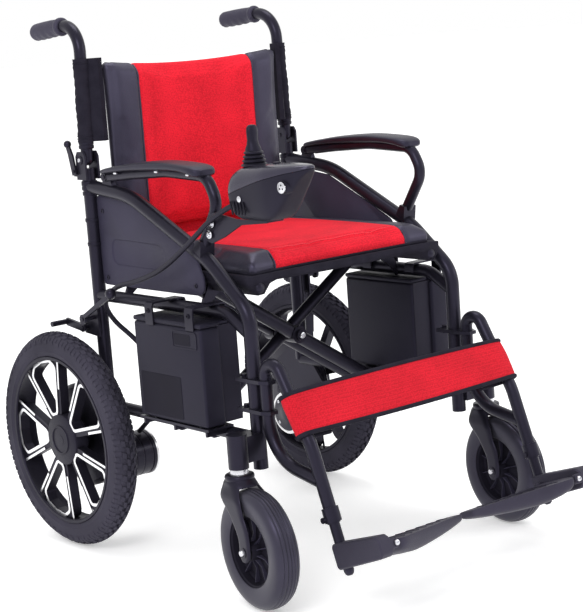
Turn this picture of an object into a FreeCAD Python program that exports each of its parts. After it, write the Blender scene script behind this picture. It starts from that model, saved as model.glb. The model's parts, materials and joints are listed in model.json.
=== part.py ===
import FreeCAD, Part
import math
import os

import Sketcher
from FreeCAD import Placement, Rotation, Vector

# Folding power wheelchair, in millimetres, +Z up, front towards -Y.
# The origin is on the floor under the middle of the chair. The user's right side is -X.
# Pieces of the right side are drawn at their place, and the left side mirrors them.

DIMENSIONS = [
    ("axle_back", 304),
    ("drive_x", 298),
    ("tyre_radius", 203),
    ("tyre_half_width", 24),
    ("bead_radius", 150),
    ("rim_inner_radius", 139),
    ("hub_radius", 49),
    ("axle_radius", 10),
    ("caster_x", 293),
    ("caster_front", 512),
    ("caster_reach", 46),
    ("caster_radius", 100),
    ("caster_half_width", 22.5),
    ("caster_yaw", -7.7),
    ("frame_x", 236),
    ("frame_tube", 25),
    ("rail_tube", 22),
    ("tube_wall", 2),
    ("post_y", -55),
    ("front_y", -498),
    ("base_rail_height", 262),
    ("battery_rail_height", 470),
    ("hinge_height", 720),
    ("rail_x", 199),
    ("rail_height", 509),
    ("brace_foot_x", 203),
    ("brace_foot_height", 250),
    ("brace_y", -296),
    ("seat_half_width", 221),
    ("seat_front", -490),
    ("seat_rear", -62),
    ("seat_thickness", 38),
    ("back_half_width", 197),
    ("back_top", 897),
    ("back_thickness", 34),
    ("cell_length", 181),
    ("cell_width", 77),
    ("cell_height", 167),
    ("case_length", 194),
    ("case_width", 84),
    ("case_height", 178),
    ("case_wall", 2.5),
    ("case_bottom", 279),
    ("case_front", -430),
    ("motor_radius", 43),
    ("motor_length", 78),
    ("gearbox_radius", 98),
    ("pad_width", 50),
    ("panel_thickness", 5),
    ("panel_x", 229.5),
    ("footplate_thickness", 9),
    ("strap_height", 70),
    ("socket_radius", 7),
    ("socket_depth", 10),
    ("cable_size", 9),
]

RUNNING = 0.05
JOINT_GAP = 0.1
CLEARANCE = 0.3

doc = FreeCAD.newDocument("PowerWheelchair")
sheet = doc.addObject("Spreadsheet::Sheet", "dims")
for row, (alias, value) in enumerate(DIMENSIONS, start=1):
    sheet.set("A%d" % row, alias)
    sheet.set("B%d" % row, str(value))
    sheet.setAlias("B%d" % row, alias)
doc.recompute()

subparts = []


def dim(alias):
    """The value of a driving dimension, as the sheet holds it."""
    return float(sheet.get(alias))


def size(alias, factor=1.0, plus=0.0):
    """A length tied to the sheet: its value now, and the expression that keeps it."""
    return factor * dim(alias) + plus, "dims.%s * %s + %s" % (alias, factor, plus)


def fixed(length):
    """A length that nothing drives."""
    return length, None


AXLE_BACK = dim("axle_back")
FRAME_X = dim("frame_x")
POST_Y = dim("post_y")
FRONT_Y = dim("front_y")


def at(x, y, z):
    """A point of the chair, with y counted from the rear axle."""
    return Vector(x, y + AXLE_BACK, z)


def side(y, z, x=-FRAME_X):
    """A point in the plane of the right side frame."""
    return at(x, y, z)


# Shape helpers


def rounded_wire(points, radii):
    """Straight runs between the points, with a tangent arc at each inner point."""
    edges = []
    start = points[0]
    for before, corner, after, radius in zip(points, points[1:], points[2:], radii):
        inward = (before - corner).normalize()
        outward = (after - corner).normalize()
        half = inward.getAngle(outward) / 2
        reach = radius / math.tan(half)
        middle = (inward + outward).normalize() * (radius / math.sin(half) - radius)
        arc_start = corner + inward * reach
        arc_end = corner + outward * reach
        if (arc_start - start).Length > 1e-6:
            edges.append(Part.LineSegment(start, arc_start).toShape())
        edges.append(Part.Arc(arc_start, corner + middle, arc_end).toShape())
        start = arc_end
    edges.append(Part.LineSegment(start, points[-1]).toShape())
    return Part.Wire(edges)


def rod(points, radii, radius):
    """A round bar that follows the points."""
    path = rounded_wire(points, radii)
    ring = Part.Wire([Part.makeCircle(radius, points[0], points[1] - points[0])])
    return path.makePipeShell([ring], True, False)


def tube(points, radii, diameter, wall=None):
    """A tube that follows the points."""
    wall = wall or dim("tube_wall")
    return rod(points, radii, diameter / 2).cut(rod(points, radii, diameter / 2 - wall))


def bar(start, end, radius):
    """A straight round bar between two points."""
    return Part.makeCylinder(radius, (end - start).Length, start, end - start)


def block(low, high):
    """A box between two corners."""
    extent = high - low
    return Part.makeBox(extent.x, extent.y, extent.z, low)


def plate(outline, thickness, direction):
    """A flat plate: a closed outline pushed along a direction."""
    face = Part.Face(Part.makePolygon(outline + [outline[0]]))
    return face.extrude(Vector(direction).normalize() * thickness)


def side_plate(corners, x_low, x_high):
    """A plate that stands fore and aft, from (y, z) corners."""
    return plate([at(x_low, y, z) for y, z in corners], x_high - x_low, Vector(1, 0, 0))


def fuse(shapes):
    """One solid from several that touch."""
    return shapes[0].multiFuse(shapes[1:]).removeSplitter()


def cross_bar(x_low, x_high, y, z, radius):
    """A round bar along X."""
    return bar(at(x_low, y, z), at(x_high, y, z), radius)


def long_bar(x, z, y_low, y_high, radius):
    """A round bar along Y."""
    return bar(at(x, y_low, z), at(x, y_high, z), radius)


# Document helpers


def keep(piece, label):
    """Name a document object as a sub-part."""
    piece.Label = label
    subparts.append(piece)
    return piece


def feature(label, shape, placement=None):
    """A sub-part whose shape is made with Part's own functions."""
    piece = doc.addObject("Part::Feature", label)
    if shape.ShapeType == "Compound" and len(shape.Solids) == 1:
        shape = shape.Solids[0]
    piece.Shape = shape
    piece.Placement = placement or Placement()
    return keep(piece, label)


def both_sides(piece):
    """Name a right-hand piece and add its mirror image on the left."""
    name = piece.Label
    piece.Label = name + "_right"
    mirror = doc.addObject("Part::Mirroring", name + "_left")
    mirror.Source = piece
    mirror.Base = Vector(0, 0, 0)
    mirror.Normal = Vector(1, 0, 0)
    keep(mirror, name + "_left")
    return piece


def primitive(kind, name, placement, **sizes):
    """A Part primitive whose properties are numbers or expressions on the sheet."""
    piece = doc.addObject("Part::" + kind, name)
    for key, value in sizes.items():
        if isinstance(value, str):
            piece.setExpression(key, value)
        else:
            setattr(piece, key, value)
    piece.Placement = placement
    return piece


def origin_plane(body, role):
    """One of a body's own origin planes."""
    return next(item for item in body.Origin.OriginFeatures if item.Role == role)


def sketch_polygon(body, role, name, corners):
    """A closed sketch whose corners are pairs of lengths, bound to the sheet where it drives them."""
    sketch = body.newObject("Sketcher::SketchObject", name)
    sketch.AttachmentSupport = (origin_plane(body, role), "")
    sketch.MapMode = "FlatFace"
    places = [Vector(across[0], up[0], 0) for across, up in corners]
    count = len(places)
    for index, place in enumerate(places):
        sketch.addGeometry(Part.LineSegment(place, places[(index + 1) % count]))
    for index in range(count):
        sketch.addConstraint(Sketcher.Constraint("Coincident", index, 2, (index + 1) % count, 1))
    for index, corner in enumerate(corners):
        for kind, axis, (value, expression) in zip(("DistanceX", "DistanceY"), (-2, -1), corner):
            if abs(value) < 1e-9:
                sketch.addConstraint(Sketcher.Constraint("PointOnObject", index, 1, axis))
                continue
            rule = sketch.addConstraint(Sketcher.Constraint(kind, -1, 1, index, 1, value))
            if expression:
                sketch.setExpression("Constraints[%d]" % rule, expression)
    return sketch


def new_body(name):
    """An empty PartDesign body."""
    return doc.addObject("PartDesign::Body", name)


def turned(name, profile, placement):
    """A body turned about its own Z axis from (radius, height) corners."""
    body = new_body(name)
    sketch = sketch_polygon(body, "XZ_Plane", name + "_profile", profile)
    revolution = body.newObject("PartDesign::Revolution", name + "_turn")
    revolution.Profile = sketch
    revolution.ReferenceAxis = (sketch, ["V_Axis"])
    revolution.Angle = 360
    body.Placement = placement
    return body


def pressed(name, outline, thickness, placement):
    """A body pushed up along its own Z axis from (x, y) corners."""
    body = new_body(name)
    sketch = sketch_polygon(body, "XY_Plane", name + "_outline", outline)
    pad = body.newObject("PartDesign::Pad", name + "_pad")
    pad.Profile = sketch
    pad.setExpression("Length", thickness)
    body.Placement = placement
    return body


def facing(point, direction, spin=0):
    """A placement at a point, with local Z along a direction."""
    turn = Rotation(Vector(0, 0, 1), direction)
    return Placement(point, turn.multiply(Rotation(Vector(0, 0, 1), spin)))


OUT = Vector(-1, 0, 0)
UP = Vector(0, 0, 1)
IN = Vector(1, 0, 0)


# Side frame

MAIN_TUBE = [side(-58, 671), side(-185, 657), side(-400, 555), side(FRONT_Y, 474), side(FRONT_Y, 216)]
MAIN_BENDS = [200, 200, 60]
BATTERY_RAIL_HEIGHT = dim("battery_rail_height")
BASE_RAIL_HEIGHT = dim("base_rail_height")
HINGE_HEIGHT = dim("hinge_height")
POST_RADIUS = dim("frame_tube") / 2
RAIL_RADIUS = dim("rail_tube") / 2
POST_TOP = 704
RAIL_X = dim("rail_x")
RAIL_HEIGHT = dim("rail_height")
SEAT_RAIL_RADIUS = dim("frame_tube") / 2 - 0.5
LOCK_PIVOT = (-62, 432)
SHOE_PIVOT = (-38, 412)
RELEASE_PIVOT = (-38, 700)
PIN_RADIUS = 4
BRACE_FOOT = (dim("brace_foot_x"), dim("brace_foot_height"))
BRACE_Y = dim("brace_y")
BRACE_HALF = 45
BRACE_PIN = 6


def post_solid():
    """The upright back post, as a solid bar."""
    return bar(side(POST_Y, BASE_RAIL_HEIGHT), side(POST_Y, POST_TOP), POST_RADIUS)


def make_front_tube():
    """The side frame's upper tube: from the back post forwards, then down to a capped foot."""
    shell = tube(MAIN_TUBE, MAIN_BENDS, dim("frame_tube"))
    post = bar(side(POST_Y, 600), side(POST_Y, POST_TOP), POST_RADIUS + 0.1)
    foot_cap = bar(side(FRONT_Y, 212), side(FRONT_Y, 220), POST_RADIUS)
    arm_ear = side_plate([(-103, 671), (-110, 698), (-126, 698), (-137, 667)], -241, -231)
    arm_seat = side_plate([(-376, 573), (-388, 592), (-400, 588), (-396, 562)], -251, -221)
    pivot_hole = cross_bar(-245, -225, *ARM_PIVOT, PIN_RADIUS + RUNNING)
    inner = rod(MAIN_TUBE, MAIN_BENDS, POST_RADIUS - dim("tube_wall"))
    ears = arm_ear.fuse(arm_seat).cut(inner)
    body = fuse([shell, foot_cap, ears]).cut(post).cut(pivot_hole)
    for way_out in arm_leg_path():
        body = body.cut(way_out)
    return feature("front_tube", body)


def arm_leg_path():
    """The space that the armrest's front leg passes through as it lifts out of its seat."""
    end = ARM_PATH[-1]
    along = (end - ARM_PATH[-2]).normalize()
    leg = bar(end + along * CLEARANCE, end - along * 40, ARM_RADIUS + CLEARANCE)
    spaces = []
    for angle in (0, 1.5, 3, 4.5, 6):
        space = leg.copy()
        space.rotate(side(*ARM_PIVOT), OUT, angle)
        spaces.append(space)
    return spaces


def seat_cradle(y):
    """A bracket on the battery rail with a half-round seat for the seat rail."""
    corners = [(-234, 461), (-226, 484), (-214, 508), (-185, 508), (-192, 492), (-214, 476), (-228, 457)]
    outline = [at(x, y - 3, z) for x, z in corners]
    return plate(outline, 6, Vector(0, 1, 0))


def make_battery_rail():
    """The middle rail, which carries the battery case and the seat rail's two cradles."""
    points = [side(POST_Y, BATTERY_RAIL_HEIGHT), side(-440, BATTERY_RAIL_HEIGHT), side(FRONT_Y, 437)]
    bend = [60]
    outer = rod(points, bend, RAIL_RADIUS)
    inner = rod(points, bend, RAIL_RADIUS - dim("tube_wall"))
    cradles = [seat_cradle(-130), seat_cradle(-360)]
    rail_seat = long_bar(-RAIL_X, RAIL_HEIGHT, -500, -40, SEAT_RAIL_RADIUS + CLEARANCE)
    post = bar(side(POST_Y, 400), side(POST_Y, 540), POST_RADIUS + JOINT_GAP)
    front = rod(MAIN_TUBE, MAIN_BENDS, POST_RADIUS + JOINT_GAP)
    return feature("battery_rail", fuse([outer] + cradles).cut(inner).cut(rail_seat).cut(post).cut(front))


def hinge_cheeks():
    """The two cheeks and the pin that hold the folding back cane."""
    corners = [(-70, 684), (-40, 684), (-40, 726), (-46, 735), (-64, 735), (-70, 726)]
    inner = side_plate(corners, -FRAME_X + 11.6, -FRAME_X + 15.6)
    outer = side_plate(corners, -FRAME_X - 15.6, -FRAME_X - 11.6)
    pin = cross_bar(-FRAME_X - 17, -FRAME_X + 17, POST_Y, HINGE_HEIGHT, PIN_RADIUS)
    release_ear = side_plate([(-46, 690), (-30, 690), (-30, 710), (-46, 710)], -FRAME_X - 15.6, -FRAME_X - 11.6)
    release_pin = cross_bar(-259, -FRAME_X - 12, *RELEASE_PIVOT, 3)
    return [inner, outer, pin, release_ear, release_pin]


def lock_mount():
    """The wheel lock's bracket on the post, with the pins of its lever and its shoe."""
    bracket = side_plate([(-74, 396), (-28, 400), (-28, 426), (-50, 446), (-74, 446)], -257, -253)
    spacer = side_plate([(-65, 402), (-45, 402), (-45, 440), (-65, 440)], -254, -240)
    lever_pin = cross_bar(-285, -255, *LOCK_PIVOT, PIN_RADIUS)
    shoe_pin = cross_bar(-272, -255, *SHOE_PIVOT, PIN_RADIUS)
    return [bracket, spacer, lever_pin, shoe_pin]


def brace_mount():
    """Two lugs inside the base rail, and the pin that the cross brace turns on."""
    foot_x, foot_z = BRACE_FOOT
    lugs = []
    for y_low in (BRACE_Y - BRACE_HALF - 5.3, BRACE_Y + BRACE_HALF + 0.3):
        corners = [(-240, 266), (-240, 254), (-216, 236), (-194, 236), (-190, 250), (-196, 264)]
        lugs.append(plate([at(x, y_low, z) for x, z in corners], 5, Vector(0, 1, 0)))
    reach = BRACE_HALF + 6
    pin = long_bar(-foot_x, foot_z, BRACE_Y - reach, BRACE_Y + reach, BRACE_PIN)
    return lugs + [pin]


def make_rear_frame():
    """The back post, base rail, axle plate, caster housing and brackets, welded as one."""
    post = post_solid()
    base = long_bar(-FRAME_X, BASE_RAIL_HEIGHT, FRONT_Y, POST_Y, RAIL_RADIUS)
    post_bore = bar(side(POST_Y, BASE_RAIL_HEIGHT + 20), side(POST_Y, 680), POST_RADIUS - dim("tube_wall"))
    base_bore = long_bar(-FRAME_X, BASE_RAIL_HEIGHT, FRONT_Y, -90, RAIL_RADIUS - dim("tube_wall"))
    axle_plate = side_plate(
        [(-78, 256), (-50, 306), (34, 250), (40, 180), (0, 150), (-70, 112), (-122, 140), (-122, 200)],
        -247, -241)
    motor_seat = cross_bar(-250, -230, -70, 162, 30)
    tray = block(at(-290, -432, 274), at(-236, -234, 278))
    tray_ribs = [block(at(-288, y, 264), at(-236, y + 5, 275)) for y in (-425, -335, -246)]
    housing = bar(at(-dim("caster_x"), -dim("caster_front"), 227),
                  at(-dim("caster_x"), -dim("caster_front"), 284), 17)
    housing_bore = bar(at(-dim("caster_x"), -dim("caster_front"), 220),
                       at(-dim("caster_x"), -dim("caster_front"), 276), 8 + RUNNING)
    gusset = block(at(-288, -516, 232), at(-240, -480, 276))
    front_post = bar(side(FRONT_Y, 200), side(FRONT_Y, 300), POST_RADIUS + 0.1)
    solid = fuse([post, base, axle_plate, tray, housing, gusset] + tray_ribs + hinge_cheeks()
                 + lock_mount() + brace_mount())
    hollow = [motor_seat, post_bore, base_bore, housing_bore, front_post]
    return feature("rear_frame", solid.cut(fuse(hollow[1:3]).fuse(hollow[0])).cut(housing_bore).cut(front_post))


def make_side_panel():
    """The clothes guard: a pressed panel under the upper tube with a rounded recess."""
    def corner(y, z):
        return fixed(y + AXLE_BACK), fixed(z)

    outline = [corner(-70, 640), corner(-184, 639), corner(-300, 586), corner(-352, 561), corner(-374, 520),
               corner(-374, 500), corner(-362, 491), corner(-300, 490), corner(-70, 490)]
    # Local X is the chair's Y and local Y its Z, so local Z points along X.
    stand = Placement(Vector(-dim("panel_x") - 2.5, 0, 0), Rotation(Vector(1, 1, 1), 120))
    body = pressed("side_panel", outline, "dims.panel_thickness", stand)
    recess = sketch_polygon(body, "XY_Plane", "side_panel_recess", [
        corner(-86, 574), corner(-262, 574), corner(-270, 566), corner(-270, 536), corner(-262, 528),
        corner(-86, 528), corner(-78, 536), corner(-78, 566)])
    doc.recompute()
    full_volume = body.Shape.Volume
    pocket = body.newObject("PartDesign::Pocket", "side_panel_pocket")
    pocket.Profile = recess
    pocket.Length = 2
    pocket.Reversed = True
    doc.recompute()
    if not body.Shape.Volume < full_volume - 1000:
        raise RuntimeError("the side panel's recess cuts nothing")
    return keep(body, "side_panel")


# Battery


CASE_OUTER_X = -289


def make_battery_case():
    """The battery case: a hollow box with two strap hooks over the battery rail."""
    corner = at(CASE_OUTER_X, dim("case_front"), dim("case_bottom"))
    outer = Part.makeBox(dim("case_width"), dim("case_length"), dim("case_height"), corner)
    upright = [edge for edge in outer.Edges if abs(edge.Vertexes[0].Z - edge.Vertexes[1].Z) > 100]
    outer = outer.makeFillet(6, upright)
    wall = dim("case_wall")
    inner = Part.makeBox(dim("case_width") - 2 * wall, dim("case_length") - 2 * wall,
                         dim("case_height") - 2 * wall, corner + Vector(wall, wall, wall))
    handle = block(at(CASE_OUTER_X - 1, -414, 418), at(CASE_OUTER_X + 1.5, -372, 440))
    hooks = []
    for y in (-415, -300):
        hooks.append(block(at(CASE_OUTER_X - 3, y, 424), at(CASE_OUTER_X + 0.5, y + 22, 484.5)))
        hooks.append(block(at(CASE_OUTER_X - 3, y, 481.5), at(-219, y + 22, 484.5)))
        hooks.append(block(at(-222, y, 466), at(-219, y + 22, 484)))
    return feature("battery_case", fuse([outer.cut(inner).cut(handle)] + hooks))


def make_battery():
    """The sealed 12 volt battery block inside the case."""
    slack = (dim("case_width") - dim("cell_width")) / 2
    end_slack = (dim("case_length") - dim("cell_length")) / 2
    corner = at(CASE_OUTER_X + slack, dim("case_front") + end_slack, dim("case_bottom") + dim("case_wall") + 0.1)
    return keep(primitive("Box", "battery", Placement(corner, Rotation()), Length="dims.cell_width",
                          Width="dims.cell_length", Height="dims.cell_height"), "battery")


# Drive


def make_gearbox():
    """The gear housing inside the wheel, with the axle that the wheel turns on."""
    profile = [
        (fixed(0), fixed(-49.2)), (size("gearbox_radius", 1, -4), fixed(-49.2)), (size("gearbox_radius"), fixed(-46)),
        (size("gearbox_radius"), fixed(-34)), (size("gearbox_radius", 1, -8), fixed(-26)),
        (fixed(30), fixed(-26)), (fixed(26), fixed(-16)), (size("axle_radius"), fixed(-16)),
        (size("axle_radius"), fixed(19)), (fixed(0), fixed(19)),
    ]
    return keep(turned("gearbox", profile, facing(at(-dim("drive_x"), 0, dim("tyre_radius")), OUT)), "gearbox")


MOTOR_CENTRE = (-70, 162)


def make_motor():
    """The drive motor: a plain barrel with a raised end ring."""
    radius = "motor_radius"
    profile = [
        (fixed(0), fixed(0)), (fixed(28), fixed(0)), (fixed(28), fixed(7)), (size(radius, 1, -1), fixed(7)),
        (size(radius, 1, -1), size("motor_length", 1, -16)), (size(radius), size("motor_length", 1, -16)),
        (size(radius), size("motor_length", 1, -4)), (size(radius, 1, -6), size("motor_length")),
        (fixed(0), size("motor_length")),
    ]
    return keep(turned("motor", profile, facing(at(-247.8, *MOTOR_CENTRE), IN)), "motor")


def make_drive_rim():
    """The cast wheel: a rim, a hub and five forked spokes."""
    outer = dim("bead_radius") - 0.1
    inner = dim("rim_inner_radius")
    ring = Part.makeCylinder(outer, 42, Vector(0, 0, -21)).cut(Part.makeCylinder(inner, 42, Vector(0, 0, -21)))
    hub = Part.makeCylinder(dim("hub_radius"), 32, Vector(0, 0, -12))
    spokes = []
    for arm in range(5):
        for lean in (-1, 1):
            root = 72 * arm + 9 * lean
            tip = 72 * arm + 18.5 * lean
            ends = []
            for angle, radius, half in ((root, dim("hub_radius") - 6, 6.5), (tip, inner + 4, 8)):
                turn = Rotation(UP, angle)
                ends.append((turn.multVec(Vector(radius, -half, 3)), turn.multVec(Vector(radius, half, 3))))
            outline = [ends[0][0], ends[1][0], ends[1][1], ends[0][1]]
            spokes.append(plate(outline, 15, UP))
    bore = Part.makeCylinder(dim("axle_radius") + RUNNING, 60, Vector(0, 0, -30))
    placement = facing(at(-dim("drive_x"), 0, dim("tyre_radius")), OUT)
    return feature("drive_rim", fuse([ring, hub] + spokes).cut(bore), placement)


def make_drive_tyre():
    """The drive tyre, without its tread blocks."""
    half = "tyre_half_width"
    radius = "tyre_radius"
    upper = [
        (size("bead_radius"), size(half, 1, -7)), (size("bead_radius", 1, 18), size(half)),
        (size(radius, 1, -15), size(half)), (size(radius, 1, -4), size(half, 1, -8)), (size(radius), size(half, 0.25)),
    ]
    lower = [(across, size(half, -1, 7)) for across, _ in upper[:1]]
    lower.append((size("bead_radius", 1, 18), size(half, -1)))
    lower.append((size(radius, 1, -15), size(half, -1)))
    lower.append((size(radius, 1, -4), size(half, -1, 8)))
    lower.append((size(radius), size(half, -0.25)))
    profile = upper + lower[::-1]
    placement = facing(at(-dim("drive_x"), 0, dim("tyre_radius")), OUT)
    return keep(turned("drive_tyre", profile, placement), "drive_tyre")


# Casters. Both point the same way, so each is placed and not mirrored.


def caster_place(sign):
    """The swivel axis at the floor, with local X along the caster's axle."""
    return Placement(at(sign * dim("caster_x"), -dim("caster_front"), 0), Rotation(UP, dim("caster_yaw")))


def make_caster_fork(sign, name):
    """The fork: a stem in the frame's housing, a crown, two legs and the axle bolt."""
    reach = dim("caster_reach")
    radius = dim("caster_radius")
    gap = dim("caster_half_width") + 4
    stem = Part.makeCylinder(8, 60, Vector(0, 0, 212))
    bush = Part.makeCylinder(13, 8, Vector(0, 0, 218.5))
    crown = Part.makeBox(2 * gap + 10, 42, 13, Vector(-gap - 5, -24, 206))
    upright = [edge for edge in crown.Edges if abs(edge.Vertexes[0].Z - edge.Vertexes[1].Z) > 10]
    crown = crown.makeFillet(9, upright)
    legs = []
    for x in (-gap - 5, gap):
        outline = [Vector(x, y, z) for y, z in ((16, 212), (-22, 212), (-reach - 13, radius), (-reach, radius - 13),
                                                (-reach + 15, radius - 3))]
        legs.append(plate(outline, 5, IN))
        legs.append(Part.makeCylinder(13, 5, Vector(x, -reach, radius), IN))
    bolt = Part.makeCylinder(6, 2 * gap + 18, Vector(-gap - 9, -reach, radius), IN)
    heads = [Part.makeCylinder(9, 6, Vector(x, -reach, radius), IN) for x in (-gap - 10, gap + 4)]
    return feature(name, fuse([stem, bush, crown, bolt] + legs + heads), caster_place(sign))


def caster_wheel_place(sign):
    """The caster's axle, with local Z along it."""
    local = Placement(Vector(0, -dim("caster_reach"), dim("caster_radius")), Rotation(UP, IN))
    return caster_place(sign).multiply(local)


def make_caster_hub(sign, name):
    """The caster's wheel centre: a dished web between a bored boss and the tyre seat."""
    half = "caster_half_width"
    profile = [
        (fixed(6 + RUNNING), size(half, -1, -1.5)), (fixed(15), size(half, -1, -1.5)), (fixed(17), fixed(-4)),
        (fixed(56), fixed(-4)), (fixed(59), size(half, -1, 4)), (fixed(66), size(half, -1, 4)),
        (fixed(66), size(half, 1, -4)), (fixed(59), size(half, 1, -4)), (fixed(56), fixed(4)),
        (fixed(17), fixed(4)), (fixed(15), size(half, 1, 1.5)), (fixed(6 + RUNNING), size(half, 1, 1.5)),
    ]
    return keep(turned(name, profile, caster_wheel_place(sign)), name)


def make_caster_tyre(sign, name):
    """The solid caster tyre with its rounded tread."""
    half = "caster_half_width"
    radius = "caster_radius"
    right = [
        (fixed(66.1), size(half, 1, -3)), (fixed(74), size(half)), (size(radius, 1, -12), size(half)),
        (size(radius, 1, -4), size(half, 1, -6)), (size(radius), size(half, 0.3)),
    ]
    left = [
        (fixed(66.1), size(half, -1, 3)), (fixed(74), size(half, -1)), (size(radius, 1, -12), size(half, -1)),
        (size(radius, 1, -4), size(half, -1, 6)), (size(radius), size(half, -0.3)),
    ]
    return keep(turned(name, right + left[::-1], caster_wheel_place(sign)), name)


# Armrest

ARM_PIVOT = (-118, 690)
ARM_PATH = [side(*ARM_PIVOT), side(-200, 697), side(-300, 703), side(-412, 697), side(-437, 652), side(-392, 585)]
ARM_BENDS = [150, 260, 34, 36]
ARM_RADIUS = 10


def make_arm_tube():
    """The armrest's looped tube, with the forked end that it flips up on."""
    bow = rod(ARM_PATH, ARM_BENDS, ARM_RADIUS)
    knuckle = cross_bar(-FRAME_X - 10.6, -FRAME_X + 10.6, *ARM_PIVOT, 8)
    slot = block(at(-FRAME_X - 5.3, -145, 668), at(-FRAME_X + 5.3, -98, 714))
    pin = cross_bar(-FRAME_X - 12, -FRAME_X + 12, *ARM_PIVOT, PIN_RADIUS)
    return feature("arm_tube", fuse([fuse([bow, knuckle]).cut(slot), pin]))


def make_arm_pad():
    """The moulded pad, a long crowned shape that sits over the tube."""
    points = [(-126, 698), (-200, 703), (-300, 707), (-405, 703), (-417, 708), (-408, 714), (-357, 718), (-300, 721),
              (-224, 716), (-160, 709), (-126, 704)]
    width = dim("pad_width")
    pad = side_plate(points, -FRAME_X - 3 - width / 2, -FRAME_X - 3 + width / 2)
    tube_channel = rod(ARM_PATH[:4], ARM_BENDS[:2], ARM_RADIUS + 0.1)
    knuckle = cross_bar(-FRAME_X - 12, -FRAME_X + 12, *ARM_PIVOT, 11)
    return feature("arm_pad", pad.cut(tube_channel).cut(knuckle))


# Leg rest

HANGER_TOP = side(-528, 446)
HANGER_KNEE = side(-632, 270)
HANGER_END = side(-675, 150)
FOOT_DOWN = (HANGER_END - HANGER_KNEE).normalize()
FOOT_FORWARD = Vector(0, FOOT_DOWN.z, -FOOT_DOWN.y)
FOOT_END = HANGER_END + FOOT_DOWN * 80
CLAMP_PLATES = (309, 360)
FOOT_STEM_RADIUS = 9
FOOT_STEM_HELD = 60
FOOT_BORE_DEPTH = 88


def make_hanger():
    """The footrest's bent loop, clamped to the front tube by two bolted plates."""
    sleeve_top = HANGER_END - FOOT_DOWN * (FOOT_BORE_DEPTH + 2)
    loop = [side(-648, 214), side(-528, 236), HANGER_TOP, HANGER_KNEE, sleeve_top]
    sleeve = bar(sleeve_top, HANGER_END, RAIL_RADIUS)
    bore = bar(HANGER_END + FOOT_DOWN, HANGER_END - FOOT_DOWN * FOOT_BORE_DEPTH, FOOT_STEM_RADIUS + RUNNING)
    outer = rod(loop, [80, 20, 110], RAIL_RADIUS).cut(bore)
    plates = []
    for z in CLAMP_PLATES:
        outline = [at(-252, -466, z), at(-220, -466, z), at(-220, -528, z), at(-228, -544, z),
                   at(-244, -544, z), at(-252, -528, z)]
        plates.append(plate(outline, 6, UP))
    bolts = [bar(side(-472, z - 4), side(-472, z + 10), 5) for z in CLAMP_PLATES]
    front_tube = bar(side(FRONT_Y, 300), side(FRONT_Y, 380), POST_RADIUS + JOINT_GAP)
    clamp = bar(HANGER_END - FOOT_DOWN * 2, HANGER_END - FOOT_DOWN * 26, 14)
    pinch_screw = cross_bar(-FRAME_X - 19, -FRAME_X + 16, -669, 157, 5)
    socket = fuse([sleeve, clamp, pinch_screw])
    bored = socket.cut(bore)
    if socket.Volume - bored.Volume < 0.9 * bore.Volume:
        raise RuntimeError("the hanger's bore for the foot tube is not cut")
    return feature("hanger", fuse([outer, bored] + plates + bolts).cut(front_tube))


def foot_frame(forward, up, x=0.0):
    """A point beside the foot tube's end: along the foot block, and up the tube."""
    return FOOT_END + FOOT_FORWARD * forward - FOOT_DOWN * up + Vector(x, 0, 0)


FOOT_AXIS_X = 21
FOOT_AXIS_UP = 27


def make_foot_tube():
    """The telescoping foot tube and the block that the footplate turns on."""
    stem = bar(FOOT_END - FOOT_DOWN * 6, HANGER_END - FOOT_DOWN * FOOT_STEM_HELD, FOOT_STEM_RADIUS)
    outline = [foot_frame(forward, up, -13) for forward, up in ((-10, 4), (102, 4), (108, 11), (108, 42), (99, 50),
                                                                (-10, 50))]
    base = plate(outline, 26, IN)
    ears = []
    for forward in (4, 98):
        ear = [foot_frame(forward, up, x) for up, x in ((18, 10), (36, 10), (33, FOOT_AXIS_X + 4),
                                                        (21, FOOT_AXIS_X + 4))]
        ears.append(plate(ear, 10, FOOT_FORWARD))
    pin = bar(foot_frame(6, FOOT_AXIS_UP, FOOT_AXIS_X), foot_frame(106, FOOT_AXIS_UP, FOOT_AXIS_X), 3)
    return feature("foot_tube", fuse([stem, base, pin] + ears))


def make_footplate():
    """The flip-up footplate: a tapered plate that hinges along the block's inner side."""
    half = dim("footplate_thickness") / 2
    reach = FRAME_X - FOOT_AXIS_X - 11
    outline = [(0, 16), (0, 96), (4, 108), (14, 112), (reach, 46), (reach, 16), (14, 0), (4, 4)]
    corners = [foot_frame(forward, FOOT_AXIS_UP - half, FOOT_AXIS_X + inward) for inward, forward in outline]
    top = plate(corners, 2 * half, FOOT_DOWN * -1)
    barrel = bar(foot_frame(16, FOOT_AXIS_UP, FOOT_AXIS_X), foot_frame(96, FOOT_AXIS_UP, FOOT_AXIS_X), 5.5)
    ear_gaps = []
    for forward in (3, 97):
        low = [foot_frame(forward, up, FOOT_AXIS_X + inward) for inward, up in ((-9, 10), (9, 10), (9, 44), (-9, 44))]
        ear_gaps.append(plate(low, 12, FOOT_FORWARD))
    bore = bar(foot_frame(-5, FOOT_AXIS_UP, FOOT_AXIS_X), foot_frame(120, FOOT_AXIS_UP, FOOT_AXIS_X), 3 + RUNNING)
    return feature("footplate", fuse([top, barrel]).cut(fuse(ear_gaps)).cut(bore))


# Wheel lock


def make_lock_lever():
    """The hand lever of the wheel lock, with its round end."""
    y, z = LOCK_PIVOT
    end = (-160, 487)
    blade = side_plate([(y - 4, z + 9), (y + 7, z - 5), (end[0] + 3, end[1] - 8), (end[0] - 4, end[1] + 6)],
                       -283.5, -278.5)
    boss = cross_bar(-283.5, -278.5, y, z, 9)
    knob = Part.makeSphere(10, at(-281, *end))
    bore = cross_bar(-300, -250, y, z, PIN_RADIUS + RUNNING)
    return feature("lock_lever", fuse([blade, boss, knob]).cut(bore))


SHOE_ROD = (15, 419)


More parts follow.
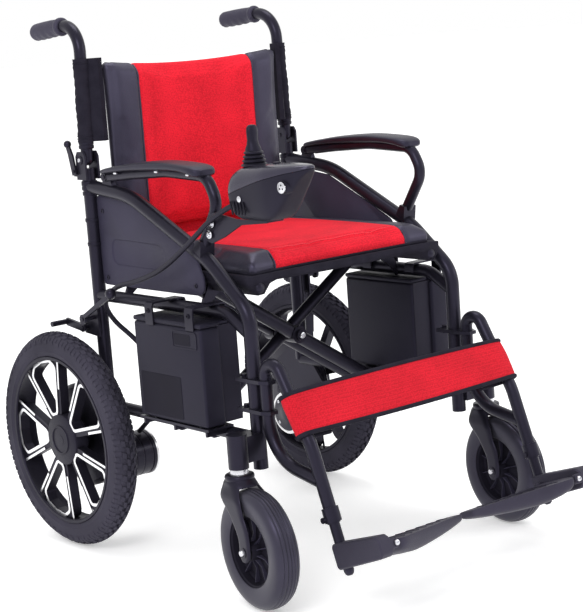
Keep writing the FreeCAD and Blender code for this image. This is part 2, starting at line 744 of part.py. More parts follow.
def make_lock_shoe():
    """The shoe arm, with the sleeved rod that presses on the tyre."""
    y, z = SHOE_PIVOT
    rod_y, rod_z = SHOE_ROD
    arm = side_plate([(y, z + 7), (y, z - 7), (rod_y, rod_z - 7), (rod_y, rod_z + 7)], -270, -265)
    boss = cross_bar(-270, -265, y, z, 8)
    shoe = cross_bar(-302, -264, rod_y, rod_z, 5)
    bore = cross_bar(-280, -250, y, z, PIN_RADIUS + RUNNING)
    return feature("lock_shoe", fuse([arm, boss, shoe]).cut(bore))


# Backrest

CANE_PATH = [at(-FRAME_X, POST_Y, HINGE_HEIGHT), at(-229, POST_Y, 965), at(-223, 98, 954)]
CANE_BEND = 50
CANE_RADIUS = 11
GRIP_LENGTH = 98


def make_back_cane():
    """The folding upright of the backrest, bent back into the push handle."""
    cane = rod(CANE_PATH, [CANE_BEND], CANE_RADIUS)
    foot = Part.makeSphere(CANE_RADIUS, CANE_PATH[0])
    bore = cross_bar(-260, -210, POST_Y, HINGE_HEIGHT, PIN_RADIUS + RUNNING)
    return feature("back_cane", fuse([cane, foot]).cut(bore))


def make_grip():
    """The ribbed push grip over the cane's end."""
    end = CANE_PATH[2]
    along = (end - CANE_PATH[1]).normalize()
    start = end - along * GRIP_LENGTH
    sleeve = bar(start, end + along * 4, 15)
    ribs = [bar(start + along * step, start + along * (step + 5), 16.5) for step in range(4, GRIP_LENGTH, 10)]
    bore = bar(start - along, end, CANE_RADIUS + 0.05)
    return feature("grip", fuse([sleeve] + ribs).cut(bore))


def make_cane_release():
    """The sprung lever behind the post that frees the folding cane."""
    y, z = RELEASE_PIVOT
    blade = side_plate([(y - 7, z - 6), (y + 5, z - 8), (y + 14, z + 30), (y + 20, z + 46), (y + 10, z + 48),
                        (y, z + 28)], -257, -253)
    knob = Part.makeSphere(7, at(-255, y + 15, z + 49))
    bore = cross_bar(-270, -240, y, z, 3 + RUNNING)
    return feature("cane_release", fuse([blade, knob]).cut(bore))


# Cross brace

FOOT_X, FOOT_Z = BRACE_FOOT
SLOPE = (RAIL_HEIGHT - FOOT_Z) / (RAIL_X + FOOT_X)
CENTRE_Z = FOOT_Z + SLOPE * FOOT_X


def seat_rail(sign):
    """A seat rail with rounded ends."""
    x = sign * RAIL_X
    rail = long_bar(x, RAIL_HEIGHT, -478, -70, SEAT_RAIL_RADIUS)
    noses = [Part.makeSphere(SEAT_RAIL_RADIUS, at(x, y, RAIL_HEIGHT)) for y in (-478, -70)]
    return [rail] + noses


def brace_arm(sign, y, radius):
    """One slanting tube, from the foot on one side to the seat rail on the other."""
    return bar(at(-sign * FOOT_X, y, FOOT_Z), at(sign * RAIL_X, y, RAIL_HEIGHT), radius)


def brace_foot(sign):
    """The long barrel at the brace's foot."""
    return long_bar(-sign * FOOT_X, FOOT_Z, BRACE_Y - BRACE_HALF, BRACE_Y + BRACE_HALF, 13)


def brace_holes(sign):
    """The holes at the foot and at the crossing."""
    foot = long_bar(-sign * FOOT_X, FOOT_Z, BRACE_Y - 60, BRACE_Y + 60, BRACE_PIN + RUNNING)
    crossing = long_bar(0, CENTRE_Z, BRACE_Y - 60, BRACE_Y + 60, BRACE_PIN + RUNNING)
    return foot.fuse(crossing)


SINGLE_HALF = 13
TWIN_OFFSET = 29


def make_cross_arm_a():
    """The single arm, from the right foot to the left seat rail, which it carries."""
    boss = long_bar(0, CENTRE_Z, BRACE_Y - SINGLE_HALF, BRACE_Y + SINGLE_HALF, 15)
    pieces = seat_rail(1) + [brace_arm(1, BRACE_Y, 11), brace_foot(1), boss]
    return feature("cross_arm_a", fuse(pieces).cut(brace_holes(1)))


def make_cross_arm_b():
    """The twin arm, from the left foot to the right seat rail, which it carries."""
    pieces = seat_rail(-1) + [brace_foot(-1)]
    for y in (BRACE_Y - TWIN_OFFSET, BRACE_Y + TWIN_OFFSET):
        pieces.append(brace_arm(-1, y, 12.5))
        pieces.append(long_bar(0, CENTRE_Z, y - 14, y + 14, 16))
    return feature("cross_arm_b", fuse(pieces).cut(brace_holes(-1)))


def make_cross_bolt():
    """The bolt that joins the two arms at their crossing."""
    shank = long_bar(0, CENTRE_Z, BRACE_Y - 50, BRACE_Y + 50, BRACE_PIN)
    heads = [long_bar(0, CENTRE_Z, y, y + 6, 10) for y in (BRACE_Y - 50, BRACE_Y + 44)]
    return feature("cross_bolt", fuse([shank] + heads))


# Soft parts, as plain closed solids


def rounded_box(name, low, radius, **sizes):
    """A box with all edges rounded."""
    box = primitive("Box", name + "_block", Placement(low, Rotation()), **sizes)
    doc.recompute()
    fillet = doc.addObject("Part::Fillet", name)
    fillet.Base = box
    fillet.Edges = [(index + 1, radius, radius) for index in range(len(box.Shape.Edges))]
    return keep(fillet, name)


def make_seat_cushion():
    """The padded seat that lies on the two seat rails."""
    low = at(-dim("seat_half_width"), dim("seat_front"), RAIL_HEIGHT + 15)
    return rounded_box("seat_cushion", low, 9, Length="dims.seat_half_width * 2",
                       Width="dims.seat_rear - dims.seat_front", Height="dims.seat_thickness")


def make_back_cushion():
    """The padded back between the two canes."""
    low = at(-dim("back_half_width"), -94, 568)
    return rounded_box("back_cushion", low, 8, Length="dims.back_half_width * 2",
                       Width="dims.back_thickness", Height="dims.back_top - 568")


def make_calf_strap():
    """The calf strap in front of the two hangers."""
    down = (HANGER_KNEE - HANGER_TOP).normalize()
    ahead = Vector(0, down.z, -down.y)
    middle = HANGER_TOP + down * ((HANGER_TOP.z - 309) / -down.z)
    middle.x = 0
    half = dim("strap_height") / 2
    low = middle + ahead * 12 - down * half
    face = [low + Vector(x, 0, 0) + down * step for x, step in ((-248, 0), (248, 0), (248, 2 * half), (-248, 2 * half))]
    return feature("calf_strap", plate(face, 5, ahead))


# Joystick controller, on the right armrest

CONTROLLER_X = -236
CONTROLLER_HALF = 37
STICK = (CONTROLLER_X, -541, 716)
GIMBAL_HEIGHT = 708
BUTTON = (CONTROLLER_X, -598)
SHELL_WALL = 2.5
CONTROLLER_REAR = -503
CONTROLLER_NOSE = -680
SOCKET = (-640, 688)
SOCKET_FACE = -264
SEAM = (at(0, -503, 664), at(0, -662, 708))


def controller_body(inset):
    """The controller's outer form, shrunk on every side by the inset."""
    rear, front = CONTROLLER_REAR - inset, CONTROLLER_NOSE + inset
    half = CONTROLLER_HALF - inset
    plan = [(-half, rear - 6), (-half + 6, rear), (half - 6, rear), (half, rear - 6), (half, -600), (12, front),
            (-12, front), (-half, -600)]
    upright = plate([at(CONTROLLER_X + x, y, 600) for x, y in plan], 160, UP)
    low, high = 632 + inset, 722 - inset
    profile = [(rear, low + 12), (rear - 14, low), (-600, low), (front, 706), (front, high - 6),
               (front + 10, high), (rear - 18, high), (rear, high - 34)]
    across = side_plate(profile, CONTROLLER_X - 60, CONTROLLER_X + 60)
    return upright.common(across)


def above_seam(gap):
    """The space over the sloping seam, moved up by a gap."""
    rear, front = SEAM
    lift = Vector(0, 0, gap)
    corners = [rear + lift + Vector(0, 60, -17), front + lift + Vector(0, -60, 17), at(0, -722, 800), at(0, -443, 800)]
    outline = [corner + Vector(CONTROLLER_X - 80, 0, 0) for corner in corners]
    return plate(outline, 160, IN)


def make_controller_shells():
    """The two moulded halves, with the hole for the stick, the button, the socket and the lead."""
    stick_x, stick_y, stick_z = STICK
    hollow = controller_body(0).cut(controller_body(SHELL_WALL))
    boss = cross_bar(SOCKET_FACE, SOCKET_FACE + 15, *SOCKET, dim("socket_radius") + 3.5)
    socket_hole = cross_bar(SOCKET_FACE - 10, SOCKET_FACE + dim("socket_depth") + 0.5, *SOCKET,
                            dim("socket_radius") + 1.2)
    stick_hole = bar(at(stick_x, stick_y, 700), at(stick_x, stick_y, 740), 19)
    button_hole = bar(at(*BUTTON, 700), at(*BUTTON, 740), 7.2)
    lead = (CABLE_POINTS[1] - CABLE_POINTS[0]).normalize()
    lead_hole = bar(CABLE_POINTS[0] - lead * 4, CABLE_POINTS[0] + lead * 16, dim("cable_size") / 2 + 0.4)
    floor_post = bar(at(stick_x, stick_y, 634), at(stick_x, stick_y, 690), 8)
    fork = [block(at(stick_x + x, stick_y - 8, 684), at(stick_x + x + 4, stick_y + 8, stick_z)) for x in (-17, 13)]
    bridge = block(at(stick_x - 17, stick_y - 8, 680), at(stick_x + 17, stick_y + 8, 690))
    pivots = [cross_bar(stick_x + x, stick_x + x + 5, stick_y, GIMBAL_HEIGHT, 2.5) for x in (-14, 9)]
    vents = [side_plate([(-522 - step, 640), (-526 - step, 640), (-520 - step, 662), (-516 - step, 662)],
                        -280, -270.5) for step in range(0, 40, 8)]
    upper = hollow.common(above_seam(0.1)).cut(stick_hole).cut(button_hole)
    lower = hollow.cut(above_seam(-0.1)).fuse(boss).cut(socket_hole).cut(lead_hole)
    for vent in vents:
        lower = lower.cut(vent)
    lower = fuse([lower, floor_post, bridge] + fork + pivots)
    feature("controller_upper_shell", upper)
    feature("controller_lower_shell", lower)


def make_controller_bracket():
    """The plate that carries the controller on the armrest's front leg."""
    blade = side_plate([(-418, 592), (-432, 588), (-466, 600), (-512, 622), (-580, 628), (-580, 631.5),
                        (-500, 631.5), (-442, 640), (-426, 634)], -250.5, -247.3)
    shelf = block(at(-250.5, -580, 628.5), at(-216, -506, 631.5))
    leg = rod(ARM_PATH, ARM_BENDS, ARM_RADIUS + 0.15)
    bolts = [cross_bar(-254, -247, y, z, 4.5) for y, z in ((-430, 603), (-438, 622))]
    return feature("controller_bracket", fuse([blade, shelf] + bolts).cut(leg))


def make_joystick():
    """The gimbal cross inside the controller, and the stick on it."""
    centre = at(STICK[0], STICK[1], GIMBAL_HEIGHT)
    ring = block(centre - Vector(8.8, 8, 5), centre + Vector(8.8, 8, 5))
    pivot_holes = bar(centre - Vector(12, 0, 0), centre + Vector(12, 0, 0), 2.5 + RUNNING)
    window = block(centre - Vector(5.2, 5.2, 6), centre + Vector(5.2, 5.2, 6))
    stick_pin = bar(centre - Vector(0, 7, 0), centre + Vector(0, 7, 0), 1.6)
    gimbal = ring.cut(window).cut(pivot_holes).fuse(stick_pin)
    feature("joystick_gimbal", gimbal.removeSplitter())
    ball = block(centre - Vector(3.5, 4.2, 4), centre + Vector(3.5, 4.2, 4))
    shaft = bar(centre, centre + Vector(0, 0, 34), 3)
    neck = Part.makeCone(13, 7, 10, centre + Vector(0, 0, 32))
    knob = bar(centre + Vector(0, 0, 42), centre + Vector(0, 0, 66), 7)
    tip = Part.makeSphere(7, centre + Vector(0, 0, 66))
    pin_hole = bar(centre - Vector(0, 9, 0), centre + Vector(0, 9, 0), 1.6 + RUNNING)
    feature("joystick", fuse([ball, shaft, neck, knob, tip]).cut(pin_hole))


def make_power_button():
    """The round push button ahead of the stick."""
    profile = [(fixed(0), fixed(-6)), (fixed(9), fixed(-6)), (fixed(9), fixed(-5)), (fixed(6.9), fixed(-5)),
               (fixed(6.9), fixed(1.6)), (fixed(6), fixed(2.4)), (fixed(0), fixed(2.4))]
    return keep(turned("power_button", profile, facing(at(*BUTTON, 722), UP)), "power_button")


def make_charge_socket():
    """The round charging socket in the controller's outer side."""
    radius = "socket_radius"
    profile = [(size(radius), size("socket_depth", -1, 2)), (size(radius), fixed(2)),
               (size(radius, 1, 2), fixed(2)), (size(radius, 1, 2), fixed(0.3)),
               (size(radius, 1, 1), fixed(0.3)), (size(radius, 1, 1), size("socket_depth", -1)),
               (fixed(0), size("socket_depth", -1)), (fixed(0), size("socket_depth", -1, 2))]
    return keep(turned("charge_socket", profile, facing(at(SOCKET_FACE, *SOCKET), OUT)), "charge_socket")


CABLE_POINTS = [
    at(-257, -510, 657), at(-261, -458, 638), at(-266, -392, 590), at(-266, -310, 540), at(-265, -228, 512),
    at(-264, -150, 497), at(-259, -100, 464), at(-236, -92, 425), at(-208, -118, 388), at(-192, -162, 340),
    at(-188, -166, 282), at(-192, -122, 236), at(-196, -84, 206),
]


def cord_arcs(points):
    """The bend radius at each inner point: as large as its two runs allow."""
    radii = []
    for before, corner, after in zip(points, points[1:], points[2:]):
        turn = (corner - before).getAngle(after - corner)
        shorter = min((corner - before).Length, (after - corner).Length)
        radii.append(0.45 * shorter / math.tan(turn / 2))
    return radii


def make_controller_cable():
    """The lead from the controller to the drive, clipped along the frame."""
    radii = cord_arcs(CABLE_POINTS)
    radius = dim("cable_size") / 2
    cable = rod(CABLE_POINTS, radii, radius)
    length = rounded_wire(CABLE_POINTS, radii).Length
    expected = math.pi * radius ** 2 * length
    print("cable length", round(length, 1), "radii", [round(value) for value in radii])
    if abs(cable.Volume / expected - 1) > 0.01:
        raise RuntimeError("the cable's volume differs from its section times its length")
    return feature("controller_cable", cable)


# Build


for maker in (make_front_tube, make_rear_frame, make_battery_rail, make_side_panel, make_battery_case, make_battery,
              make_gearbox, make_motor, make_drive_rim, make_drive_tyre, make_arm_tube, make_arm_pad, make_hanger,
              make_foot_tube, make_footplate, make_lock_lever, make_lock_shoe, make_back_cane, make_grip,
              make_cane_release):
    both_sides(maker())

for sign, hand in ((-1, "right"), (1, "left")):
    make_caster_fork(sign, "caster_fork_" + hand)
    make_caster_hub(sign, "caster_hub_" + hand)
    make_caster_tyre(sign, "caster_tyre_" + hand)

for maker in (make_cross_arm_a, make_cross_arm_b, make_cross_bolt, make_seat_cushion, make_back_cushion,
              make_calf_strap, make_controller_shells, make_controller_bracket, make_joystick,
              make_power_button, make_charge_socket, make_controller_cable):
    maker()

doc.recompute()

# Checks and export

failed = [item.Label for item in doc.Objects if {"Invalid", "Error"} & set(item.State)]
if failed:
    raise RuntimeError("these objects failed: %s" % failed)

os.makedirs("parts", exist_ok=True)
broken = [piece.Label for piece in subparts if piece.Shape.isNull() or not piece.Shape.isValid()]
if broken:
    raise RuntimeError("these sub-parts have no valid shape: %s" % broken)
for piece in subparts:
    solids = piece.Shape.Solids
    if len(solids) != 1:
        print(piece.Label, "has", len(solids), "solids")
    piece.Shape.exportStep("parts/" + piece.Label + ".step")
print(len(subparts), "sub-parts written")
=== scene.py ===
import json
import math

import bmesh
import bpy
from mathutils import Matrix, Vector
from mathutils.bvhtree import BVHTree


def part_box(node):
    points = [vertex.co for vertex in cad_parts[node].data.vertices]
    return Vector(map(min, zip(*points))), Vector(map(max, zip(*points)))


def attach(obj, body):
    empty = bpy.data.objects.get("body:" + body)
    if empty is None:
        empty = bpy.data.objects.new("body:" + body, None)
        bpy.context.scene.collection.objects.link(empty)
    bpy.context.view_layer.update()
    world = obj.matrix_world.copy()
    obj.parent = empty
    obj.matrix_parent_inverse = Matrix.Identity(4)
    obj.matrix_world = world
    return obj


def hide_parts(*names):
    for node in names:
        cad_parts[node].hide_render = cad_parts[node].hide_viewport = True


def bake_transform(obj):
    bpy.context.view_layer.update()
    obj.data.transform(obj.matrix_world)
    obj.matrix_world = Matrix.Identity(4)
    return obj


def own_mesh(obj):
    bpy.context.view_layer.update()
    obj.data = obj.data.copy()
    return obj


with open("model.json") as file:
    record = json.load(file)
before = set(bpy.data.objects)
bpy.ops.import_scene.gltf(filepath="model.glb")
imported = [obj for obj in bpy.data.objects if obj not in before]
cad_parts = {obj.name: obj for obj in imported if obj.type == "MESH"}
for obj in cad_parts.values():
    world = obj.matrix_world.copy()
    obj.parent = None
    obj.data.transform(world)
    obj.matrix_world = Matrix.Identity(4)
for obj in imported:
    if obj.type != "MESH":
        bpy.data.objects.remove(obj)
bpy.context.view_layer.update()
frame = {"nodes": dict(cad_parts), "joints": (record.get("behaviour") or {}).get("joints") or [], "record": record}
NODES = frame["nodes"]

# Metres, +Z up, front towards -Y, the user's right side at -X, origin on the floor.

# Places shared with the CAD model, read from its nodes and joints

JOINTS = {joint["name"]: joint for joint in frame["joints"]}


def joint_point(name):
    """The place of a joint's axis."""
    return Vector(JOINTS[name]["pos_m"])


AXLE = joint_point("drive_wheel_right_spin")
AXLE_Y = AXLE.y
HINGE = joint_point("back_fold_right")
STICK = joint_point("stick_fore_tilt")
LEFT = Matrix.Scale(-1, 4, (1, 0, 0))


def mm(x, y, z):
    """A point from millimetres, with y counted from the rear axle."""
    return Vector((x / 1000, AXLE_Y + y / 1000, z / 1000))


# Materials

COOL_SHINE = (0.62, 0.56, 0.92, 1)


def new_material(name):
    """An empty node material, its node tree and its principled shader."""
    material = bpy.data.materials.new(name)
    material.use_nodes = True
    tree = material.node_tree
    shader = tree.nodes["Principled BSDF"]
    return material, tree, shader


def link(tree, source, output, target, socket):
    """Join one node's output to another's input."""
    tree.links.new(source.outputs[output], target.inputs[socket])


def object_texture(tree, kind, scale, **values):
    """A texture in object coordinates, in metres."""
    place = tree.nodes.new("ShaderNodeTexCoord")
    texture = tree.nodes.new(kind)
    link(tree, place, "Object", texture, "Vector")
    texture.inputs["Scale"].default_value = scale
    for key, value in values.items():
        texture.inputs[key].default_value = value
    return texture


def ramp(tree, low, high, start=0.35, end=0.65):
    """A colour ramp between two colours."""
    node = tree.nodes.new("ShaderNodeValToRGB")
    node.color_ramp.elements[0].position = start
    node.color_ramp.elements[0].color = (*low, 1)
    node.color_ramp.elements[1].position = end
    node.color_ramp.elements[1].color = (*high, 1)
    return node


def add_bump(tree, shader, source, output, strength, distance):
    """Bump from a texture's output, over any bump that is there already."""
    bump = tree.nodes.new("ShaderNodeBump")
    bump.inputs["Strength"].default_value = strength
    bump.inputs["Distance"].default_value = distance
    link(tree, source, output, bump, "Height")
    normal = shader.inputs["Normal"]
    if normal.is_linked:
        tree.links.new(normal.links[0].from_socket, bump.inputs["Normal"])
    link(tree, bump, "Normal", shader, "Normal")
    return bump


def mottled(name, colour, spread, roughness, grain, bump, metallic=0.0, coat=0.0, specular=0.3, cloud=9.0,
            depth=0.0006):
    """A plain finish with slow colour and gloss changes and a fine surface grain."""
    material, tree, shader = new_material(name)
    clouds = object_texture(tree, "ShaderNodeTexNoise", cloud, Detail=5.0)
    low = tuple(value * (1 - spread) for value in colour)
    high = tuple(value * (1 + spread) for value in colour)
    tint = ramp(tree, low, high)
    link(tree, clouds, "Fac", tint, "Fac")
    link(tree, tint, "Color", shader, "Base Color")
    gloss = tree.nodes.new("ShaderNodeMapRange")
    gloss.inputs["To Min"].default_value = roughness - 0.07
    gloss.inputs["To Max"].default_value = roughness + 0.08
    link(tree, clouds, "Fac", gloss, "Value")
    link(tree, gloss, "Result", shader, "Roughness")
    shader.inputs["Metallic"].default_value = metallic
    shader.inputs["Specular IOR Level"].default_value = specular
    shader.inputs["Specular Tint"].default_value = (1, 1, 1, 1) if metallic else COOL_SHINE
    shader.inputs["Coat Weight"].default_value = coat
    shader.inputs["Coat Roughness"].default_value = 0.2
    fine = object_texture(tree, "ShaderNodeTexNoise", grain, Detail=2.0)
    add_bump(tree, shader, fine, "Fac", bump, depth)
    return material


def red_mesh_material(name, strength):
    """Red air mesh: small open cells in a knitted surface."""
    material, tree, shader = new_material(name)
    cells = object_texture(tree, "ShaderNodeTexVoronoi", 330.0, Randomness=0.45)
    shade = ramp(tree, (0.82, 0.015, 0.034), (0.55, 0.009, 0.021), 0.30, 0.75)
    link(tree, cells, "Distance", shade, "Fac")
    clouds = object_texture(tree, "ShaderNodeTexNoise", 14.0, Detail=4.0)
    wash = ramp(tree, (0.80 * strength,) * 3, (strength,) * 3, 0.3, 0.7)
    link(tree, clouds, "Fac", wash, "Fac")
    blend = tree.nodes.new("ShaderNodeMixRGB")
    blend.blend_type = "MULTIPLY"
    blend.inputs["Fac"].default_value = 1.0
    link(tree, shade, "Color", blend, "Color1")
    link(tree, wash, "Color", blend, "Color2")
    link(tree, blend, "Color", shader, "Base Color")
    shader.inputs["Roughness"].default_value = 0.78
    shader.inputs["Specular IOR Level"].default_value = 0.12
    shader.inputs["Sheen Weight"].default_value = 0.06
    shader.inputs["Sheen Roughness"].default_value = 0.5
    shader.inputs["Sheen Tint"].default_value = (1.0, 0.35, 0.4, 1)
    bump = add_bump(tree, shader, cells, "Distance", 0.4, 0.0008)
    bump.invert = True
    return material


def leather_material(name, colour):
    """Black leatherette with a pebbled grain and soft wrinkles."""
    material = mottled(name, colour, 0.22, 0.38, 60, 0.25, specular=0.5, depth=0.002)
    tree = material.node_tree
    shader = tree.nodes["Principled BSDF"]
    pebbles = object_texture(tree, "ShaderNodeTexVoronoi", 620.0, Randomness=0.9)
    add_bump(tree, shader, pebbles, "Distance", 0.3, 0.0007)
    return material


PAINT = mottled("paint_charcoal", (0.0095, 0.0088, 0.0135), 0.25, 0.32, 900, 0.10, coat=0.04, specular=0.28)
RUBBER_TYRE = mottled("rubber_tyre", (0.034, 0.0318, 0.044), 0.25, 0.72, 480, 0.35, specular=0.18)
RUBBER_CASTER = mottled("rubber_caster", (0.024, 0.023, 0.031), 0.2, 0.34, 400, 0.08, specular=0.38)
PLASTIC = mottled("plastic_black", (0.0105, 0.0098, 0.0145), 0.2, 0.42, 1600, 0.25, specular=0.22)
PLASTIC_CASE = mottled("plastic_case", (0.013, 0.0122, 0.0195), 0.14, 0.5, 2200, 0.4, specular=0.2)
PLASTIC_DARK = mottled("plastic_shadow", (0.009, 0.0083, 0.0125), 0.2, 0.6, 1600, 0.3, specular=0.15)
PLASTIC_PANEL = mottled("plastic_panel", (0.031, 0.0285, 0.047), 0.14, 0.46, 2000, 0.35, specular=0.22)
PLASTIC_TOP = mottled("plastic_controller", (0.022, 0.0205, 0.029), 0.15, 0.26, 1500, 0.12, specular=0.5,
                      coat=0.2)
PLASTIC_FOOT = mottled("plastic_footplate", (0.029, 0.027, 0.038), 0.18, 0.5, 1100, 0.45)
PAD = mottled("pad_foam", (0.012, 0.0115, 0.017), 0.2, 0.40, 1300, 0.35, specular=0.4)
GRIP = mottled("grip_rubber", (0.040, 0.037, 0.054), 0.2, 0.5, 1500, 0.4)
STEEL = mottled("steel_zinc", (0.66, 0.66, 0.70), 0.08, 0.26, 1200, 0.12, metallic=1.0)
SILVER = mottled("rim_machined", (0.86, 0.86, 0.88), 0.05, 0.30, 1500, 0.10, metallic=0.85, specular=0.5)
MOTOR_BLACK = mottled("motor_black", (0.008, 0.0075, 0.011), 0.2, 0.34, 900, 0.2, coat=0.15)
CABLE = mottled("cable_rubber", (0.010, 0.0095, 0.013), 0.2, 0.45, 800, 0.2)
LEATHER = leather_material("leather_black", (0.026, 0.0245, 0.036))
FABRIC = mottled("fabric_black", (0.012, 0.011, 0.016), 0.25, 0.78, 900, 0.5, specular=0.2, cloud=40.0)
STITCH = mottled("thread_red", (0.85, 0.10, 0.12), 0.1, 0.7, 900, 0.2)
RED = red_mesh_material("red_air_mesh", 1.0)
RED_STRAP = red_mesh_material("red_strap_mesh", 0.80)

SLOT_MATERIALS = {
    "frame_paint": PAINT,
    "tyre_rubber": RUBBER_TYRE,
    "caster_rubber": RUBBER_CASTER,
    "rim_plastic": PLASTIC,
    "black_plastic": PLASTIC,
    "case_plastic": PLASTIC_CASE,
    "battery_block": PLASTIC,
    "grip_rubber": GRIP,
    "pad_foam": PAD,
    "red_mesh": RED,
    "black_leatherette": LEATHER,
    "motor_steel": MOTOR_BLACK,
    "bright_steel": STEEL,
    "cable_rubber": CABLE,
}

for part in frame["record"]["subparts"]:
    cad = NODES[part["node"]]
    cad.data.materials.clear()
    cad.data.materials.append(SLOT_MATERIALS[part["material_slot"]])


# Mesh helpers. Forms are drawn in millimetres and placed by a matrix.

IDENTITY = Matrix.Identity(4)
MILLIMETRES = Matrix.Translation((0, AXLE_Y, 0)) @ Matrix.Scale(0.001, 4)
SIDES = (("right", IDENTITY), ("left", LEFT))


def stand(origin, x_axis, y_axis, z_axis):
    """A matrix that takes millimetres along three axes to a place in metres."""
    turn = Matrix((x_axis, y_axis, z_axis)).transposed().to_4x4()
    return Matrix.Translation(origin) @ turn @ Matrix.Scale(0.001, 4)


def loft(form, rings, material=0):
    """Faces between closed rings of points that have the same count, and a face over each end."""
    rows = [[form.verts.new(point) for point in ring] for ring in rings]
    count = len(rows[0])
    faces = []
    for low, high in zip(rows, rows[1:]):
        for index in range(count):
            after = (index + 1) % count
            faces.append(form.faces.new((low[index], low[after], high[after], high[index])))
    faces.append(form.faces.new(rows[0][::-1]))
    faces.append(form.faces.new(rows[-1]))
    for face in faces:
        face.material_index = material
    return faces


def lathe(form, profile, material=0, segments=96):
    """A solid turned about local Z from a closed loop of (radius, height) points."""
    rings = []
    for step in range(segments + 1):
        angle = 2 * math.pi * (step % segments) / segments
        rings.append([polar(radius, angle, height) for radius, height in profile])
    rows = [[form.verts.new(point) for point in ring] for ring in rings[:-1]]
    count = len(profile)
    for row, after in zip(rows, rows[1:] + rows[:1]):
        for index in range(count):
            following = (index + 1) % count
            corners = (row[index], after[index], after[following], row[following])
            form.faces.new(corners).material_index = material
    bmesh.ops.remove_doubles(form, verts=form.verts, dist=1e-4)


def polar(radius, angle, height):
    """A point at a radius and an angle about Z, at a height."""
    return Vector((radius * math.cos(angle), radius * math.sin(angle), height))


def powered(value, power):
    """A number raised to a power with its sign kept."""
    return math.copysign(abs(value) ** power, value)


def circle(radius, count, centre=(0, 0)):
    """Points round a circle."""
    return [(centre[0] + radius * math.cos(2 * math.pi * step / count),
             centre[1] + radius * math.sin(2 * math.pi * step / count)) for step in range(count)]


def rounded(points, radius, steps=5):
    """An outline whose corners are rounded with arcs."""
    outline = []
    count = len(points)
    for index, corner in enumerate(points):
        corner = Vector(corner)
        before = Vector(points[index - 1]) - corner
        after = Vector(points[(index + 1) % count]) - corner
        half = before.angle(after) / 2
        reach = min(radius / math.tan(half), before.length * 0.45, after.length * 0.45)
        start = corner + before.normalized() * reach
        end = corner + after.normalized() * reach
        for step in range(steps + 1):
            t = step / steps
            outline.append(start * (1 - t) ** 2 + corner * 2 * t * (1 - t) + end * t ** 2)
    return outline


def offset(outline, distance):
    """An outline moved outwards by a distance."""
    moved = []
    area = sum(a[0] * b[1] - a[1] * b[0] for a, b in zip(outline, outline[1:] + outline[:1]))
    turn = 1 if area > 0 else -1
    for index, point in enumerate(outline):
        along = Vector(outline[(index + 1) % len(outline)]) - Vector(outline[index - 1])
        normal = Vector((along.y, -along.x)).normalized() * turn
        moved.append(Vector(point) + normal * distance)
    return moved


def prism(form, outline, low, high, material=0, chamfer=0.0, top=None):
    """A plate from an outline in local XY, with a chamfered rim at both faces."""
    def ring(points, height):
        return [Vector((point[0], point[1], height)) for point in points]

    rings = [ring(outline, low), ring(outline, high)]
    if chamfer:
        inner = offset(outline, -chamfer)
        rings = [ring(inner, low), ring(outline, low + chamfer), ring(outline, high - chamfer),
                 ring(inner, high)]
    faces = loft(form, rings, material)
    if top is not None:
        faces[-1].material_index = top


def band(form, inner, outer, low, high, material=0, top=None):
    """A flat ring between two outlines that have the same count."""
    loops = []
    for outline, height in ((inner, low), (outer, low), (outer, high), (inner, high)):
        loops.append([form.verts.new((point[0], point[1], height)) for point in outline])
    count = len(inner)
    for index, loop in enumerate(loops):
        following = loops[(index + 1) % 4]
        for step in range(count):
            after = (step + 1) % count
            face = form.faces.new((loop[step], loop[after], following[after], following[step]))
            face.material_index = top if index == 2 and top is not None else material


def sweep(form, path, radius, sides=16, material=0, flat=1.0):
    """A round or flattened bar along a path."""
    points = [Vector(point) for point in path]
    side = None
    rings = []
    for index, point in enumerate(points):
        along = (points[min(index + 1, len(points) - 1)] - points[max(index - 1, 0)]).normalized()
        if side is None:
            side = along.orthogonal()
        side = (side - along * side.dot(along)).normalized()
        other = along.cross(side)
        ring = []
        for step in range(sides):
            angle = 2 * math.pi * step / sides
            ring.append(point + side * math.cos(angle) * radius + other * math.sin(angle) * radius * flat)
        rings.append(ring)
    loft(form, rings, material)


def curve_points(points, count):
    """Points along the smooth NURBS curve of a list of control points."""
    data = bpy.data.curves.new("path", "CURVE")
    data.dimensions = "3D"
    spline = data.splines.new("NURBS")
    spline.points.add(len(points) - 1)
    for place, point in zip(spline.points, points):
        place.co = (*point, 1)
    spline.order_u = 3
    spline.use_endpoint_u = True
    data.resolution_u = count
    holder = bpy.data.objects.new("path", data)
    mesh = bpy.data.meshes.new_from_object(holder)
    found = [vertex.co.copy() for vertex in mesh.vertices]
    bpy.data.objects.remove(holder)
    bpy.data.curves.remove(data)
    bpy.data.meshes.remove(mesh)
    return found


def rounded_box(form, low, high, radius, segments=3, material=0):
    """A box with round edges."""
    low, high = Vector(low), Vector(high)
    made = bmesh.ops.create_cube(form, size=1)
    for vert in made["verts"]:
        vert.co = Vector([low[axis] + (vert.co[axis] + 0.5) * (high[axis] - low[axis]) for axis in range(3)])
    corners = set(made["verts"])
    edges = [edge for edge in form.edges if edge.verts[0] in corners]
    cut = bmesh.ops.bevel(form, geom=edges, offset=radius, segments=segments, profile=0.5, affect="EDGES")
    flats = {face for vert in made["verts"] if vert.is_valid for face in vert.link_faces}
    for face in set(cut["faces"]) | flats:
        face.material_index = material


def add_form(form, part, matrix=IDENTITY):
    """Place one bmesh's geometry by a matrix and move it into another."""
    part.transform(matrix)
    mesh = bpy.data.meshes.new("part")
    part.to_mesh(mesh)
    part.free()
    form.from_mesh(mesh)
    bpy.data.meshes.remove(mesh)


def turned(form, profile, matrix, material=0, segments=48):
    """A solid turned about its own Z, placed by a matrix and added to a form."""
    part = bmesh.new()
    lathe(part, profile, material, segments)
    add_form(form, part, matrix)


def pointing(centre, direction):
    """A matrix that puts local Z along a direction, from a centre."""
    return Matrix.Translation(centre) @ Vector(direction).to_track_quat("Z", "Y").to_matrix().to_4x4()


